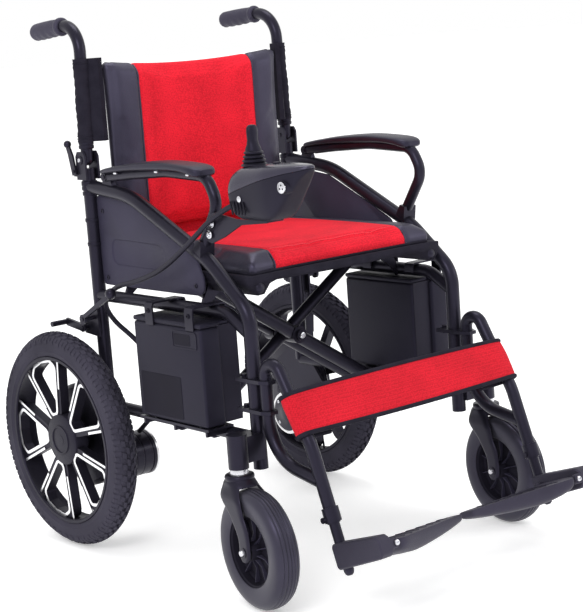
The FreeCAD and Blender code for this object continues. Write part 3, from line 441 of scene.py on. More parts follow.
def screw_head(form, centre, direction, radius, height, material=0):
    """A domed screw head with a round socket."""
    profile = [(0, 0), (radius, 0), (radius, height * 0.45), (radius * 0.86, height * 0.85),
               (radius * 0.6, height), (radius * 0.42, height), (radius * 0.38, height * 0.3),
               (0, height * 0.3)]
    turned(form, profile, pointing(centre, direction), material, 24)


def placed(name, form, matrix, materials, body, stands_for=(), sharp=35, ride=True):
    """Turn a drawn form into a piece: place it, shade it, give it its materials and its body."""
    form.transform(matrix)
    if matrix.determinant() < 0:
        bmesh.ops.reverse_faces(form, faces=form.faces)
    mesh = bpy.data.meshes.new(name)
    form.to_mesh(mesh)
    form.free()
    for material in materials:
        mesh.materials.append(material)
    mesh.shade_smooth()
    if sharp:
        mesh.set_sharp_from_angle(angle=math.radians(sharp))
    piece = bpy.data.objects.new(name, mesh)
    bpy.context.scene.collection.objects.link(piece)
    if ride:
        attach(piece, body)
    if stands_for:
        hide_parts(*stands_for)
    return piece


def both(name, make, matrix, materials, body, stands_for=(), sharp=35):
    """The same form on the right and, mirrored, on the left. Names take the side's word."""
    for hand, mirror in SIDES:
        nodes = [node % hand for node in stands_for]
        placed("%s_%s" % (name, hand), make(), mirror @ matrix, materials, body % hand, nodes, sharp)


def smoothstep(low, high, value):
    """A smooth step from 0 to 1."""
    t = min(max((value - low) / (high - low), 0), 1)
    return t * t * (3 - 2 * t)


def along_table(table, value):
    """A value read from (place, value) pairs with smooth steps between them."""
    for (low, first), (high, second) in zip(table, table[1:]):
        if value <= high:
            return first + (second - first) * smoothstep(low, high, value)
    return table[-1][1]


def between(low, high, count):
    """Evenly spaced numbers from low to high."""
    return [low + (high - low) * step / (count - 1) for step in range(count)]


# Drive wheels, drawn about local Z with Z outwards and X to the front

WHEEL = stand(AXLE, (0, -1, 0), (0, 0, 1), (-1, 0, 0))
TYRE_RADIUS = 203
TREAD_DEPTH = 4
TREAD_COUNT = 58
# Each row of blocks: the way it is staggered, its share of the pitch, its heights and its lean
TREAD_ROWS = (
    (1, 0.30, (0.8, 3.4, 6.2), 0.0022),
    (-1, 0.26, (7.4, 10.5, 13.6), 0.0020),
    (1, 0.20, (14.8, 18.0, 20.6, 22.4, 23.7), -0.0006),
    (-1, 0.20, (18.0, 20.6, 22.4), -0.0006),
)
RIM_EDGE = 152
WINDOW_COUNT = 5
WINDOW_START = math.radians(37)
WINDOW_ROOT = (52, 7)
ARM_SLOPE = 28 / 64
ARM_FACE = 13.4
ARM_TOP = 15.4


def tyre_crown(height):
    """The tread surface's radius at a distance from the tyre's middle."""
    return TYRE_RADIUS - 0.022 * abs(height) ** 2.05


def tread_block(form, angle, half_angle, heights, lean=0.0):
    """One rubber block across a stretch of the crown, leaning round the tyre."""
    rings = []
    for height in heights:
        middle = angle + lean * abs(height)
        crown = tyre_crown(height)
        ring = []
        for radius, share in ((crown - TREAD_DEPTH - 1, 1.25), (crown, 0.86)):
            for sign in (-1, 1):
                ring.append(polar(radius, middle + sign * share * half_angle, height))
        rings.append([ring[0], ring[1], ring[3], ring[2]])
    loft(form, rings)


def drive_tyre():
    """The pneumatic tyre: carcass, sidewall rings, centre blocks and shoulder lugs."""
    form = bmesh.new()
    half = [(155, 15), (157, 18.5), (159, 20.4), (161, 21.6), (166, 22.6), (168, 23.6), (171, 23.0),
            (180, 23.2), (186, 22.6), (192, 19.5), (196, 15), (198.2, 8), (199, 0)]
    profile = half + [(radius, -height) for radius, height in half[-2::-1]]
    lathe(form, profile, segments=144)
    pitch = 2 * math.pi / TREAD_COUNT
    for step in range(TREAD_COUNT):
        for sign in (-1, 1):
            shift = 0.25 * pitch * sign
            for way, share, heights, lean in TREAD_ROWS:
                tread_block(form, step * pitch + way * shift, share * pitch,
                            [sign * height for height in heights], lean)
    return form


def window_outline():
    """One rim window: a rounded point at the hub, wide and slightly bowed at the rim."""
    root_x, root_y = WINDOW_ROOT
    return rounded([(root_x, -root_y), (131, -40), (144, -28), (148, 0), (144, 28), (131, 40), WINDOW_ROOT],
                   8, 5)


def turned_round(outline, angle):
    """An outline turned about the origin."""
    return [(point[0] * math.cos(angle) - point[1] * math.sin(angle),
             point[0] * math.sin(angle) + point[1] * math.cos(angle)) for point in outline]


def drive_rim():
    """The cast wheel: a rim, a capped hub and five windowed arms with machined edges."""
    form = bmesh.new()
    lathe(form, [(151.5, -20), (153, -22), (158, -22), (159.5, -20), (159.5, 20), (158, 22.4), (153, 22),
                 (151.5, 20), (153, 15), (153.4, 8), (153.4, -16)], segments=120)
    lathe(form, [(10.5, -12), (47, -12), (49, -10), (49, 13), (47.5, 15.5), (44, 17), (28, 18.5), (27, 20.5),
                 (24.5, 20.5), (23.5, 18.8), (12, 19.6), (10.5, 19.6)], segments=72)
    lathe(form, [(0, 17), (11, 17), (11, 19.9), (0, 20.3)], segments=48)
    for arm in range(WINDOW_COUNT):
        angle = WINDOW_START + 2 * math.pi * arm / WINDOW_COUNT
        inner = window_outline()
        limit = RIM_EDGE + 1.8
        wide = []
        for point in offset(inner, 15):
            length = Vector(point).length
            wide.append(Vector(point) * min(1, limit / length))
        band(form, turned_round(inner, angle), turned_round(wide, angle), -4, 13.5)
        edge = offset(inner, 6)
        groove = turned_round(offset(inner, 0.4), angle)
        band(form, groove, turned_round(edge, angle), ARM_FACE, ARM_TOP, 0, 1)
        for sign, start in ((-1, 90), (1, 66)):
            run = Vector((1, sign * ARM_SLOPE)).normalized()
            out = Vector((-sign * run.y, sign * run.x))
            root = Vector((WINDOW_ROOT[0], sign * WINDOW_ROOT[1])) + out * 11.5
            first = root + run * ((start - root.x) / run.x)
            last = root + run * ((RIM_EDGE * 0.955 - root.x) / run.x)
            half = out * 2.3
            bar = [first - half, last - half, last + half, first + half]
            if sign > 0:
                bar.reverse()
            prism(form, turned_round(bar, angle), ARM_FACE, ARM_TOP, 0, 0.0, 1)
    return form


both("drive_tyre_treaded", drive_tyre, WHEEL, [RUBBER_TYRE], "drive_wheel_%s",
     ["drive_tyre_%s"])
both("drive_rim_cast", drive_rim, WHEEL, [PLASTIC, SILVER], "drive_wheel_%s", ["drive_rim_%s"])


# Casters, drawn about the axle with local Z along it, and the fork about the swivel axis

CASTER_RADIUS = 100
CASTER_HALF = 22.5
CASTER_CROWN = 24
CASTER_TRAIL = 46


def caster_places(hand):
    """Matrices for the wheel, about its axle, and for the fork, about its swivel on the floor."""
    axle = Vector(JOINTS["caster_%s_spin" % hand]["axis"]).normalized()
    up = Vector((0, 0, 1))
    back = up.cross(axle)
    outward = axle if (-back).cross(up).dot(axle) > 0 else -axle
    wheel = stand(joint_point("caster_%s_spin" % hand), -back, up, outward)
    pivot = joint_point("caster_%s_swivel" % hand)
    fork = stand(Vector((pivot.x, pivot.y, 0)), axle, back, up)
    return wheel, fork


def caster_tyre():
    """A round solid tyre with five grooves in its tread."""
    form = bmesh.new()
    outer = []
    for step in range(61):
        angle = math.pi * step / 60
        height = CASTER_HALF * math.cos(angle)
        radius = CASTER_RADIUS - CASTER_CROWN + CASTER_CROWN * math.sin(angle) ** 0.62
        groove = 0
        for middle in (-12, -6, 0, 6, 12):
            groove += 1.5 * math.exp(-((height - middle) / 0.9) ** 2)
        outer.append((radius - groove, height))
    inner = [(63, -21.3), (60.5, -20.2), (60.5, -19.2), (66.1, -19.2), (66.1, 19.2), (60.5, 19.2),
             (60.5, 20.2), (63, 21.3)]
    lathe(form, outer + inner, segments=120)
    return form


def caster_hub():
    """The wheel centre: a lip, a deep dish on both faces, a boss and thin ribs."""
    form = bmesh.new()
    half = [(6.1, 21.5), (14, 21.5), (15.5, 19.5), (16.5, 6), (50, 3), (54, 6), (57, 16.5), (60, 18.5),
            (65, 18.8), (66, 17.5)]
    lathe(form, half + [(radius, -height) for radius, height in half[::-1]], segments=96)
    for sign in (-1, 1):
        for rib in range(10):
            angle = 2 * math.pi * (rib + 0.5) / 10
            along = Vector((math.cos(angle), math.sin(angle), 0))
            across = Vector((-along.y, along.x, 0)) * 0.9
            rings = []
            for radius, height in ((15, 15), (30, 8.5), (54, 12)):
                root = along * radius
                low, high = Vector((0, 0, sign * 3)), Vector((0, 0, sign * height))
                rings.append([root - across + low, root + across + low, root + across * 0.7 + high,
                              root - across * 0.7 + high])
            loft(form, rings, 1)
    return form


YOKE_TOP = 216
YOKE_ARCH = 201
YOKE_FOOT = 84
YOKE_WALL = 3.2
FOOT_RADIUS = 17.3
LEG_SIDE = 0.62
YOKE_WIDTHS = [(YOKE_FOOT, 30.5), (160, 30.5), (180, 31), (204, 25), (YOKE_TOP, 21.5)]
YOKE_DEPTHS = [(CASTER_RADIUS, FOOT_RADIUS), (115, 17.6), (150, 23), (184, 34), (202, 31), (YOKE_TOP, 23)]


def yoke_point(height, angle):
    """A point of the yoke's outer face: round at the top, squarer and further back below."""
    low = smoothstep(0, 1, (212 - height) / 100)
    half_x = along_table(YOKE_WIDTHS, height)
    half_y = along_table(YOKE_DEPTHS, height)
    if height < CASTER_RADIUS:
        half_y = math.sqrt(max(FOOT_RADIUS ** 2 - (CASTER_RADIUS - height) ** 2, 4))
    power = 2 / (2 + 4 * smoothstep(0, 1, (212 - height) / 40))
    across, along = powered(math.cos(angle), power), powered(math.sin(angle), power)
    return Vector((half_x * across, half_y * along - CASTER_TRAIL * low, height))


def caster_fork():
    """A stamped yoke: round at the top, arched over the tyre, with two legs that run back to the axle."""
    form = bmesh.new()
    columns = 72
    crown = between(YOKE_TOP, YOKE_ARCH, 7)
    legs = between(YOKE_ARCH, YOKE_FOOT, 30)[1:]
    vertices = []
    for column in range(columns):
        angle = 2 * math.pi * column / columns
        heights = crown + (legs if abs(math.cos(angle)) >= LEG_SIDE else [])
        vertices.append([form.verts.new(yoke_point(height, angle)) for height in heights])
    for column in range(columns):
        beside = vertices[(column + 1) % columns]
        here = vertices[column]
        for row in range(min(len(here), len(beside)) - 1):
            form.faces.new((here[row], here[row + 1], beside[row + 1], beside[row]))
    bmesh.ops.recalc_face_normals(form, faces=form.faces)
    bmesh.ops.solidify(form, geom=form.faces[:], thickness=YOKE_WALL)
    lathe(form, [(0, 206), (20, 206), (24, 209), (25, 214), (24, 217), (21.5, 218.3), (13, 218.3),
                 (0, 218.3)], segments=64)
    lathe(form, [(8.5, 218.3), (15.5, 218.3), (15.5, 221), (14.5, 226.3), (8.5, 226.3)], 1, segments=48)
    for sign in (-1, 1):
        place = pointing((sign * 30.2, -CASTER_TRAIL, CASTER_RADIUS), (sign, 0, 0))
        turned(form, [(0, 0), (8.6, 0), (8.6, 1.4), (5, 1.6)], place, 0, 28)
        turned(form, [(0, 1), (5, 1), (4.8, 5.2), (4.2, 6), (0, 6.2)], place, 1, 28)
    sweep(form, [(x, -CASTER_TRAIL, CASTER_RADIUS) for x in (-30, 30)], 5.9, 24, 1)
    return form


for hand, _ in SIDES:
    wheel_place, fork_place = caster_places(hand)
    placed("caster_tyre_grooved_" + hand, caster_tyre(), wheel_place, [RUBBER_CASTER], "caster_wheel_" + hand,
           ["caster_tyre_" + hand])
    placed("caster_hub_dished_" + hand, caster_hub(), wheel_place, [PLASTIC_DARK, PLASTIC_PANEL],
           "caster_wheel_" + hand, ["caster_hub_" + hand])
    placed("caster_yoke_" + hand, caster_fork(), fork_place, [PAINT, STEEL], "caster_swivel_" + hand,
           ["caster_fork_" + hand], sharp=50)


# Soft goods: padded covers are swelled by cloth simulation, then sewn channels are pressed in

SWELL_FRAMES = 20
SWELL_PRESSURE = 4.0
FRAME_X = -HINGE.x


def swelled(low, high, radius, cap, voxel=0.006):
    """The mesh of a filled cover: a rounded block remeshed and blown up, no point moving past the cap."""
    form = bmesh.new()
    rounded_box(form, low, high, radius, 3)
    mesh = bpy.data.meshes.new("cover")
    form.to_mesh(mesh)
    form.free()
    cover = bpy.data.objects.new("cover", mesh)
    scene = bpy.context.scene
    scene.collection.objects.link(cover)
    remesh = cover.modifiers.new("remesh", "REMESH")
    remesh.mode = "VOXEL"
    remesh.voxel_size = voxel
    graph = bpy.context.evaluated_depsgraph_get()
    fine = bpy.data.meshes.new_from_object(cover.evaluated_get(graph))
    cover.modifiers.clear()
    cover.data = fine
    start = [vertex.co.copy() for vertex in fine.vertices]
    cloth = cover.modifiers.new("cloth", "CLOTH")
    cloth.settings.use_pressure = True
    cloth.settings.uniform_pressure_force = SWELL_PRESSURE
    cloth.settings.effector_weights.gravity = 0
    cloth.settings.tension_stiffness = 12
    cloth.settings.quality = 5
    cloth.point_cache.frame_start = 1
    cloth.point_cache.frame_end = SWELL_FRAMES
    for step in range(1, SWELL_FRAMES + 1):
        scene.frame_set(step)
    graph = bpy.context.evaluated_depsgraph_get()
    result = bpy.data.meshes.new_from_object(cover.evaluated_get(graph))
    ends = [vertex.co.copy() for vertex in result.vertices]
    cover.modifiers.clear()
    scene.frame_set(1)
    for vertex, before, after in zip(fine.vertices, start, ends):
        move = after - before
        vertex.co = before + move.normalized() * min(move.length, cap)
    refine = cover.modifiers.new("refine", "SUBSURF")
    refine.levels = 1
    graph = bpy.context.evaluated_depsgraph_get()
    smooth = bpy.data.meshes.new_from_object(cover.evaluated_get(graph))
    bpy.data.objects.remove(cover)
    form = bmesh.new()
    form.from_mesh(smooth)
    return form


def press_seam(form, distance, depth, width):
    """Press a sewn channel into a form where the distance function is near zero."""
    form.normal_update()
    moves = []
    for vertex in form.verts:
        gap = distance(vertex.co, vertex.normal)
        if gap is not None and abs(gap) < width * 3:
            moves.append((vertex, vertex.normal * -depth * math.exp(-(gap / width) ** 2)))
    for vertex, move in moves:
        vertex.co += move


def surface_line(tree, starts, direction, lift):
    """Points on a form's surface under a row of starting points."""
    found = []
    for start in starts:
        place, normal, _, _ = tree.ray_cast(Vector(start), Vector(direction))
        if place is not None:
            found.append(place + normal * lift)
    return found


SEAT_LOW, SEAT_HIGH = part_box("seat_cushion")
SEAT_RED = 0.152
SEAT_FRONT_BAND = 0.036
RAIL_X = 0.199
SLING_HALF = 0.219


def make_seat():
    """The padded seat: a red mesh centre, leatherette sides, a stitched front band and piping."""
    margin = Vector((0.004, 0.004, 0.002))
    form = swelled(SEAT_LOW + margin, SEAT_HIGH - margin - Vector((0, 0, 0.006)), 0.010, 0.014)
    middle = (SEAT_LOW.z + SEAT_HIGH.z) / 2
    front = SEAT_LOW.y
    for vertex in form.verts:
        across = 1 - (vertex.co.x / SEAT_HIGH.x) ** 2
        along = math.sin(math.pi * min(max((vertex.co.y - front) / (SEAT_HIGH.y - front), 0), 1))
        if vertex.co.z > middle:
            vertex.co.z += 0.005 * across * along - 0.002
            vertex.co.z = min(vertex.co.z, SEAT_HIGH.z + 0.009)
        else:
            vertex.co.z = max(vertex.co.z, SEAT_LOW.z)

    def side_seam(place, normal):
        return abs(place.x) - SEAT_RED if normal.z > -0.3 else None

    def front_seam(place, normal):
        inside = abs(place.x) < SEAT_RED and normal.z > 0.2
        return place.y - front - SEAT_FRONT_BAND if inside else None

    def second_stitch(place, normal):
        inside = abs(place.x) < SEAT_RED and normal.z > 0.2
        return place.y - front - SEAT_FRONT_BAND - 0.008 if inside else None

    press_seam(form, side_seam, 0.0035, 0.004)
    press_seam(form, front_seam, 0.0022, 0.0025)
    press_seam(form, second_stitch, 0.0014, 0.002)
    form.normal_update()
    for face in form.faces:
        centre = face.calc_center_median()
        red = abs(centre.x) < SEAT_RED and face.normal.z > -0.4 and centre.y < SEAT_HIGH.y - 0.012
        face.material_index = 0 if red else 1
    tree = BVHTree.FromBMesh(form)
    above = SEAT_HIGH.z + 0.1
    for sign in (-1, 1):
        starts = [(sign * SEAT_RED, y, above) for y in between(SEAT_HIGH.y - 0.014, front + 0.010, 60)]
        line = surface_line(tree, starts, (0, 0, -1), 0.0003)
        starts = [(sign * SEAT_RED, front - 0.1, z) for z in between(middle + 0.010, middle - 0.012, 8)]
        line += surface_line(tree, starts, (0, 1, 0), 0.0003)
        sweep(form, line, 0.0019, 8, 1)
    edge = []
    height = middle - 0.011
    for angle in between(0, 2 * math.pi, 160)[:-1]:
        direction = Vector((math.cos(angle), math.sin(angle), 0))
        centre = Vector((0, (front + SEAT_HIGH.y) / 2, height))
        place, _, _, _ = tree.ray_cast(centre + direction * 0.6, -direction)
        if place is not None:
            edge.append(place + direction * 0.0008)
    sweep(form, edge + edge[:2], 0.0026, 8, 2)
    stitches(form, tree, front + SEAT_FRONT_BAND + 0.004)
    add_sling(form)
    return form


def add_sling(form):
    """The cloth sling under the cushion, whose sides close round the seat rails."""
    rings = []
    for y in between(SEAT_LOW.y + 0.004, SEAT_HIGH.y - 0.004, 24):
        ring = []
        for x in between(-SLING_HALF, SLING_HALF, 33):
            rail = math.exp(-((abs(x) - RAIL_X) / 0.016) ** 2)
            ring.append((x, SEAT_LOW.z - 0.004 - 0.026 * rail - 0.004 * (1 - (x / SLING_HALF) ** 2)))
        upper = [(x, SEAT_LOW.z + 0.006) for x, _ in ring[::-1]]
        rings.append([Vector((x, y, z)) for x, z in ring + upper])
    loft(form, rings, 2)


def stitches(form, tree, y):
    """A row of short red stitches along the seat's front band."""
    for x in between(-SEAT_RED + 0.008, SEAT_RED - 0.008, 76):
        line = surface_line(tree, [(x - 0.0012, y, 1), (x + 0.0012, y, 1)], (0, 0, -1), 0.0002)
        if len(line) == 2:
            sweep(form, line, 0.00045, 5, 3)


BACK_LOW, BACK_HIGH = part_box("back_cushion")
BACK_RED = 0.134
BACK_SPREAD = 0.24
TAIL_HALF = 0.180
TAIL_LOW = 0.530


def make_back():
    """The padded back: a red mesh centre and leatherette sides, its top edge sagging between the canes."""
    margin = Vector((0.003, 0.004, 0.002))
    form = swelled(BACK_LOW + margin, BACK_HIGH - margin, 0.009, 0.010)
    middle = (BACK_LOW.y + BACK_HIGH.y) / 2
    height = BACK_HIGH.z - BACK_LOW.z
    for vertex in form.verts:
        place = vertex.co
        across = 1 - (place.x / BACK_HIGH.x) ** 2
        place.z += (0.007 - 0.010 * across) * smoothstep(0.5, 1.0, (place.z - BACK_LOW.z) / height)
        beyond = max(abs(place.x) - BACK_RED, 0)
        place.x = math.copysign(abs(place.x) + beyond * BACK_SPREAD, place.x)
        hollow = 0.010 * across
        place.y = place.y + hollow
        if place.y > middle:
            place.y = min(place.y, BACK_HIGH.y + 0.010)

    def side_seam(place, normal):
        return abs(place.x) - BACK_RED if normal.y < 0.5 else None

    def fold_line(place, normal):
        return abs(place.x) - 0.188 if normal.y < 0.2 else None

    press_seam(form, side_seam, 0.0032, 0.004)
    press_seam(form, fold_line, 0.0018, 0.006)
    form.normal_update()
    for face in form.faces:
        centre = face.calc_center_median()
        red = abs(centre.x) < BACK_RED and face.normal.y < 0.6 and centre.z > BACK_LOW.z + 0.006
        face.material_index = 0 if red else (2 if face.normal.y > 0.6 else 1)
    tree = BVHTree.FromBMesh(form)
    for sign in (-1, 1):
        starts = [(sign * BACK_RED, -1, z) for z in between(BACK_LOW.z + 0.012, BACK_HIGH.z - 0.014, 70)]
        sweep(form, surface_line(tree, starts, (0, 1, 0), 0.0002), 0.0017, 8, 1)
        starts = [(sign * 0.4, middle, z) for z in between(BACK_LOW.z + 0.012, BACK_HIGH.z - 0.016, 70)]
        sweep(form, surface_line(tree, starts, (-sign, 0, 0), 0.0002), 0.0022, 8, 2)
    add_tail(form)
    return form


def add_tail(form):
    """The loose end of the back's cover, which hangs down behind the seat."""
    rings = []
    for x in between(-TAIL_HALF, TAIL_HALF, 49):
        wave = 0.0012 * math.sin(x * 70)
        front, rear = BACK_HIGH.y + 0.0015 + wave, BACK_HIGH.y + 0.0045 + wave
        top, edge = BACK_LOW.z + 0.014, TAIL_LOW + 0.002 * math.cos(x * 40)
        corners = ((front, top), (front, edge), (rear, edge), (rear, top))
        rings.append([Vector((x, *corner)) for corner in corners])
    for face in loft(form, rings, 2):
        face.normal_update()
        if face.calc_center_median().y < BACK_HIGH.y + 0.003:
            face.material_index = 0


def split_at(form, height, keep_above):
    """Keep one side of a horizontal cut, and close it."""
    everything = form.verts[:] + form.edges[:] + form.faces[:]
    cut = bmesh.ops.bisect_plane(form, geom=everything, plane_co=(0, 0, height), plane_no=(0, 0, 1),
                                 clear_inner=keep_above, clear_outer=not keep_above)
    rim = [edge for edge in cut["geom_cut"] if isinstance(edge, bmesh.types.BMEdge) and edge.is_valid]
    made = bmesh.ops.holes_fill(form, edges=rim, sides=0)
    for face in made["faces"]:
        face.material_index = 2
    return form


seat = placed("seat_pad", make_seat(), IDENTITY, [RED, LEATHER, FABRIC, STITCH], None,
              ["seat_cushion"], sharp=0, ride=False)
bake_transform(seat)

BACK_FORM = make_back()
for name, keep_above, body, nodes in (("back_pad_upper", True, "backrest_right", ["back_cushion"]),
                                      ("back_pad_lower", False, "right_frame", [])):
    panel = placed(name, split_at(BACK_FORM.copy(), HINGE.z, keep_above), IDENTITY, [RED, LEATHER, FABRIC],
                   body, nodes, sharp=60)
    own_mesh(panel)
BACK_FORM.free()

SLEEVE_LOW = 0.752
CANE_LEAN = 7 / 245


def cane_axis(height):
    """The middle of the right cane at a height."""
    return Vector((-FRAME_X + CANE_LEAN * (height - HINGE.z), HINGE.y, height))


def make_sleeve():
    """The cloth sleeve that holds the back on its cane, drawn on the right."""
    form = bmesh.new()
    rings = []
    for height in between(SLEEVE_LOW, BACK_HIGH.z + 0.004, 30):
        axis = cane_axis(height)
        edge = Vector((BACK_LOW.x - 0.010, (BACK_LOW.y + BACK_HIGH.y) / 2 + 0.004, height))
        pucker = 0.0006 * math.sin(height * 420) + 0.0005 * math.sin(height * 1130)
        round_part = 0.0142 + pucker
        ring = []
        for step in range(17):
            ring.append(axis + polar(round_part, math.radians(60 + 240 * step / 16), 0))
        for x, y in ((-0.006, -0.010 - pucker), (0.004, -0.008), (0.004, 0.008), (-0.006, 0.010 + pucker)):
            ring.append(edge + Vector((x, y, 0)))
        rings.append(ring)
    loft(form, rings)
    for height in (SLEEVE_LOW + 0.006, SLEEVE_LOW + 0.011, BACK_HIGH.z - 0.004):
        path = [cane_axis(height) + polar(1, math.radians(angle), 0) * 0.0148 for angle in range(60, 301, 12)]
        sweep(form, path, 0.0009, 6)
    return form


both("back_sleeve", make_sleeve, IDENTITY, [FABRIC], "backrest_%s")


# The calf strap, a band that wraps both hangers

STRAP_LOW, STRAP_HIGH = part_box("calf_strap")
HANGER_TOP = mm(0, -528, 446)
HANGER_KNEE = mm(0, -632, 270)
STRAP_DOWN = (HANGER_KNEE - HANGER_TOP).normalized()
STRAP_AHEAD = Vector((0, STRAP_DOWN.z, -STRAP_DOWN.y))
STRAP_MIDDLE = HANGER_TOP + STRAP_DOWN * ((HANGER_TOP.z - (STRAP_LOW.z + STRAP_HIGH.z) / 2) / -STRAP_DOWN.z)
STRAP_HALF = 0.035


def strap_path():
    """The band's course across and round the two tubes, as (x, ahead) pairs from one flap to the other."""
    wrap = 0.0135
    right = [(-0.176, -0.0125), (-0.205, -0.0130), (-0.228, -0.0135)]
    for angle in range(260, 99, -16):
        turn = math.radians(angle)
        right.append((-FRAME_X + math.cos(turn) * wrap * 1.1, math.sin(turn) * wrap))
    right += [(-0.222, 0.0145), (-0.205, 0.0145)]
    left = [(-x, ahead) for x, ahead in right[::-1]]
    across = [(x, 0.0145) for x in between(-0.19, 0.19, 25)]
    return right + across + left


def make_strap():
    """Red mesh in front, black behind, with piping along both edges."""
    form = bmesh.new()
    path = strap_path()
    rows = 13
    grid = {}
    for layer in (0, 1):
        for column, (x, ahead) in enumerate(path):
            before = Vector(path[max(column - 1, 0)])
            after = Vector(path[min(column + 1, len(path) - 1)])
            along = (after - before).normalized()
            normal = Vector((-along.y, along.x))
            for row in range(rows):
                v = -1 + 2 * row / (rows - 1)
                puff = 0.0018 + 0.0016 * (1 - v ** 4) if layer else 0.0
                ripple = 0.0007 * math.sin(x * 60 + v * 2) * (1 - v * v) if layer else 0.0
                sag = 0.003 * (1 - (x / FRAME_X) ** 2) * v
                offset_point = Vector((x, ahead)) + normal * (puff + ripple)
                place = STRAP_MIDDLE + STRAP_DOWN * (v * STRAP_HALF + sag) + STRAP_AHEAD * offset_point.y
                grid[layer, column, row] = form.verts.new((offset_point.x, place.y, place.z))
    columns = len(path)

    def add_face(places, forward, material):
        corners = [grid[place] for place in places]
        form.faces.new(corners if forward else corners[::-1]).material_index = material

    for column in range(columns - 1):
        after = column + 1
        for row in range(rows - 1):
            for layer in (0, 1):
                places = [(layer, column, row), (layer, after, row), (layer, after, row + 1),
                          (layer, column, row + 1)]
                add_face(places, layer == 1, 0 if layer else 1)
        for row in (0, rows - 1):
            add_face([(0, column, row), (0, after, row), (1, after, row), (1, column, row)], row == 0, 1)
    for column in (0, columns - 1):
        for row in range(rows - 1):
            places = [(0, column, row), (1, column, row), (1, column, row + 1), (0, column, row + 1)]
            add_face(places, column == 0, 1)
    for row in (0, rows - 1):
        line = [(grid[0, column, row].co + grid[1, column, row].co) / 2 for column in range(columns)]
        sweep(form, line, 0.0038, 10, 1)
    bmesh.ops.recalc_face_normals(form, faces=form.faces)
    return form


strap = placed("calf_strap_mesh", make_strap(), IDENTITY, [RED_STRAP, FABRIC], "right_frame",
               ["calf_strap"], sharp=50)
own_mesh(strap)


# Armrest pads, lofted along the arm

PAD_STATIONS = [
    (-120, 697, 703, 12), (-124, 696, 705, 17), (-140, 698, 708, 20), (-170, 701, 712, 22),
    (-224, 704, 718, 23), (-300, 706, 722, 24), (-350, 706, 720.5, 25), (-385, 702, 718, 26),
    (-402, 698, 715.5, 25), (-412, 697, 712, 21), (-417, 700, 709, 14),
]


def superellipse(half_width, low, high, power, count):
    """Points round a rounded rectangle, as (across, up) pairs."""
    middle, half = (low + high) / 2, (high - low) / 2
    ring = []
    for step in range(count):
        angle = 2 * math.pi * step / count
        across, up = powered(math.cos(angle), 2 / power), powered(math.sin(angle), 2 / power)
        ring.append((half_width * across, middle + half * up))
    return ring


def spline_stations(stations, steps):
    """Stations with smooth ones added between them."""
    full = []
    for index in range(len(stations) - 1):
        before = stations[max(index - 1, 0)]
        here, after = stations[index], stations[index + 1]
        beyond = stations[min(index + 2, len(stations) - 1)]
        for step in range(steps):
            t = step / steps
            full.append([0.5 * (2 * b + (c - a) * t + (2 * a - 5 * b + 4 * c - d) * t ** 2
                                + (3 * b - a - 3 * c + d) * t ** 3)
                         for a, b, c, d in zip(before, here, after, beyond)])
    full.append(list(stations[-1]))
    return full


def make_arm_pad():
    """The moulded pad, crowned on top, with its screws underneath."""
    form = bmesh.new()
    rings = []
    for y, low, high, half in spline_stations(PAD_STATIONS, 6):
        ring = superellipse(half, low, high, 3.2, 36)
        rings.append([Vector((-FRAME_X * 1000 - 3 + x, y, z)) for x, z in ring])
    loft(form, rings[::-1])
    for y, z in ((-165, 699.5), (-290, 704.5), (-380, 701)):
        screw_head(form, Vector((-FRAME_X * 1000 - 15, y, z)), (-0.2, 0, -1), 4, 3, 1)
    return form


both("arm_pad_moulded", make_arm_pad, MILLIMETRES, [PAD, STEEL], "armrest_%s", ["arm_pad_%s"])


# Joystick controller

STICK_X = STICK.x * 1000
COLLAR_HEIGHT = 717.5
SHELL_SIDE = STICK_X - 36.2
SHELL_STATIONS = [
    (-503, 668, 671, 689, 22), (-506, 655, 672.5, 698, 30), (-514, 640, 675, 709, 35),
    (-528, 633, 679.5, 716, 36.5), (-550, 632, 686, 719, 37), (-590, 632, 697, 721.5, 37),
    (-612, 641, 702, 722, 34), (-640, 671, 708, 722.5, 27), (-664, 697, 712, 722, 18),
    (-677, 709, 714.5, 720.5, 10), (-681, 713.5, 715.5, 717, 4),
]


def shell_half(upper):
    """One half of the controller's housing, above or below the sloping seam."""
    form = bmesh.new()
    rings = []
    for y, low, seam, high, half in spline_stations(SHELL_STATIONS, 7):
        ring = []
        for step in range(25):
            angle = math.pi * step / 24
            flat = 0.62 if upper else 0.36
            x = half * powered(math.cos(angle), flat)
            rise = abs(math.sin(angle)) ** (0.8 if upper else 0.5)
            if upper:
                z = seam + 0.4 + max(high - seam - 0.4, 0.2) * rise
            else:
                x *= 1 - 0.10 * rise
                z = seam - 0.4 - max(seam - 0.4 - low, 0.2) * rise
            ring.append(Vector((STICK_X + x, y, z)))
        rings.append(ring)
    loft(form, rings)
    bmesh.ops.recalc_face_normals(form, faces=form.faces)
    return form


def make_shell_top():
    """The upper half, with the bellows' collar ring."""
    form = shell_half(True)
    place = Matrix.Translation((STICK_X, STICK.y * 1000 - AXLE_Y * 1000, COLLAR_HEIGHT))
    turned(form, [(16, 0), (21, 0), (21.5, 1.5), (20, 3), (17, 3.4)], place, 1)
    return form


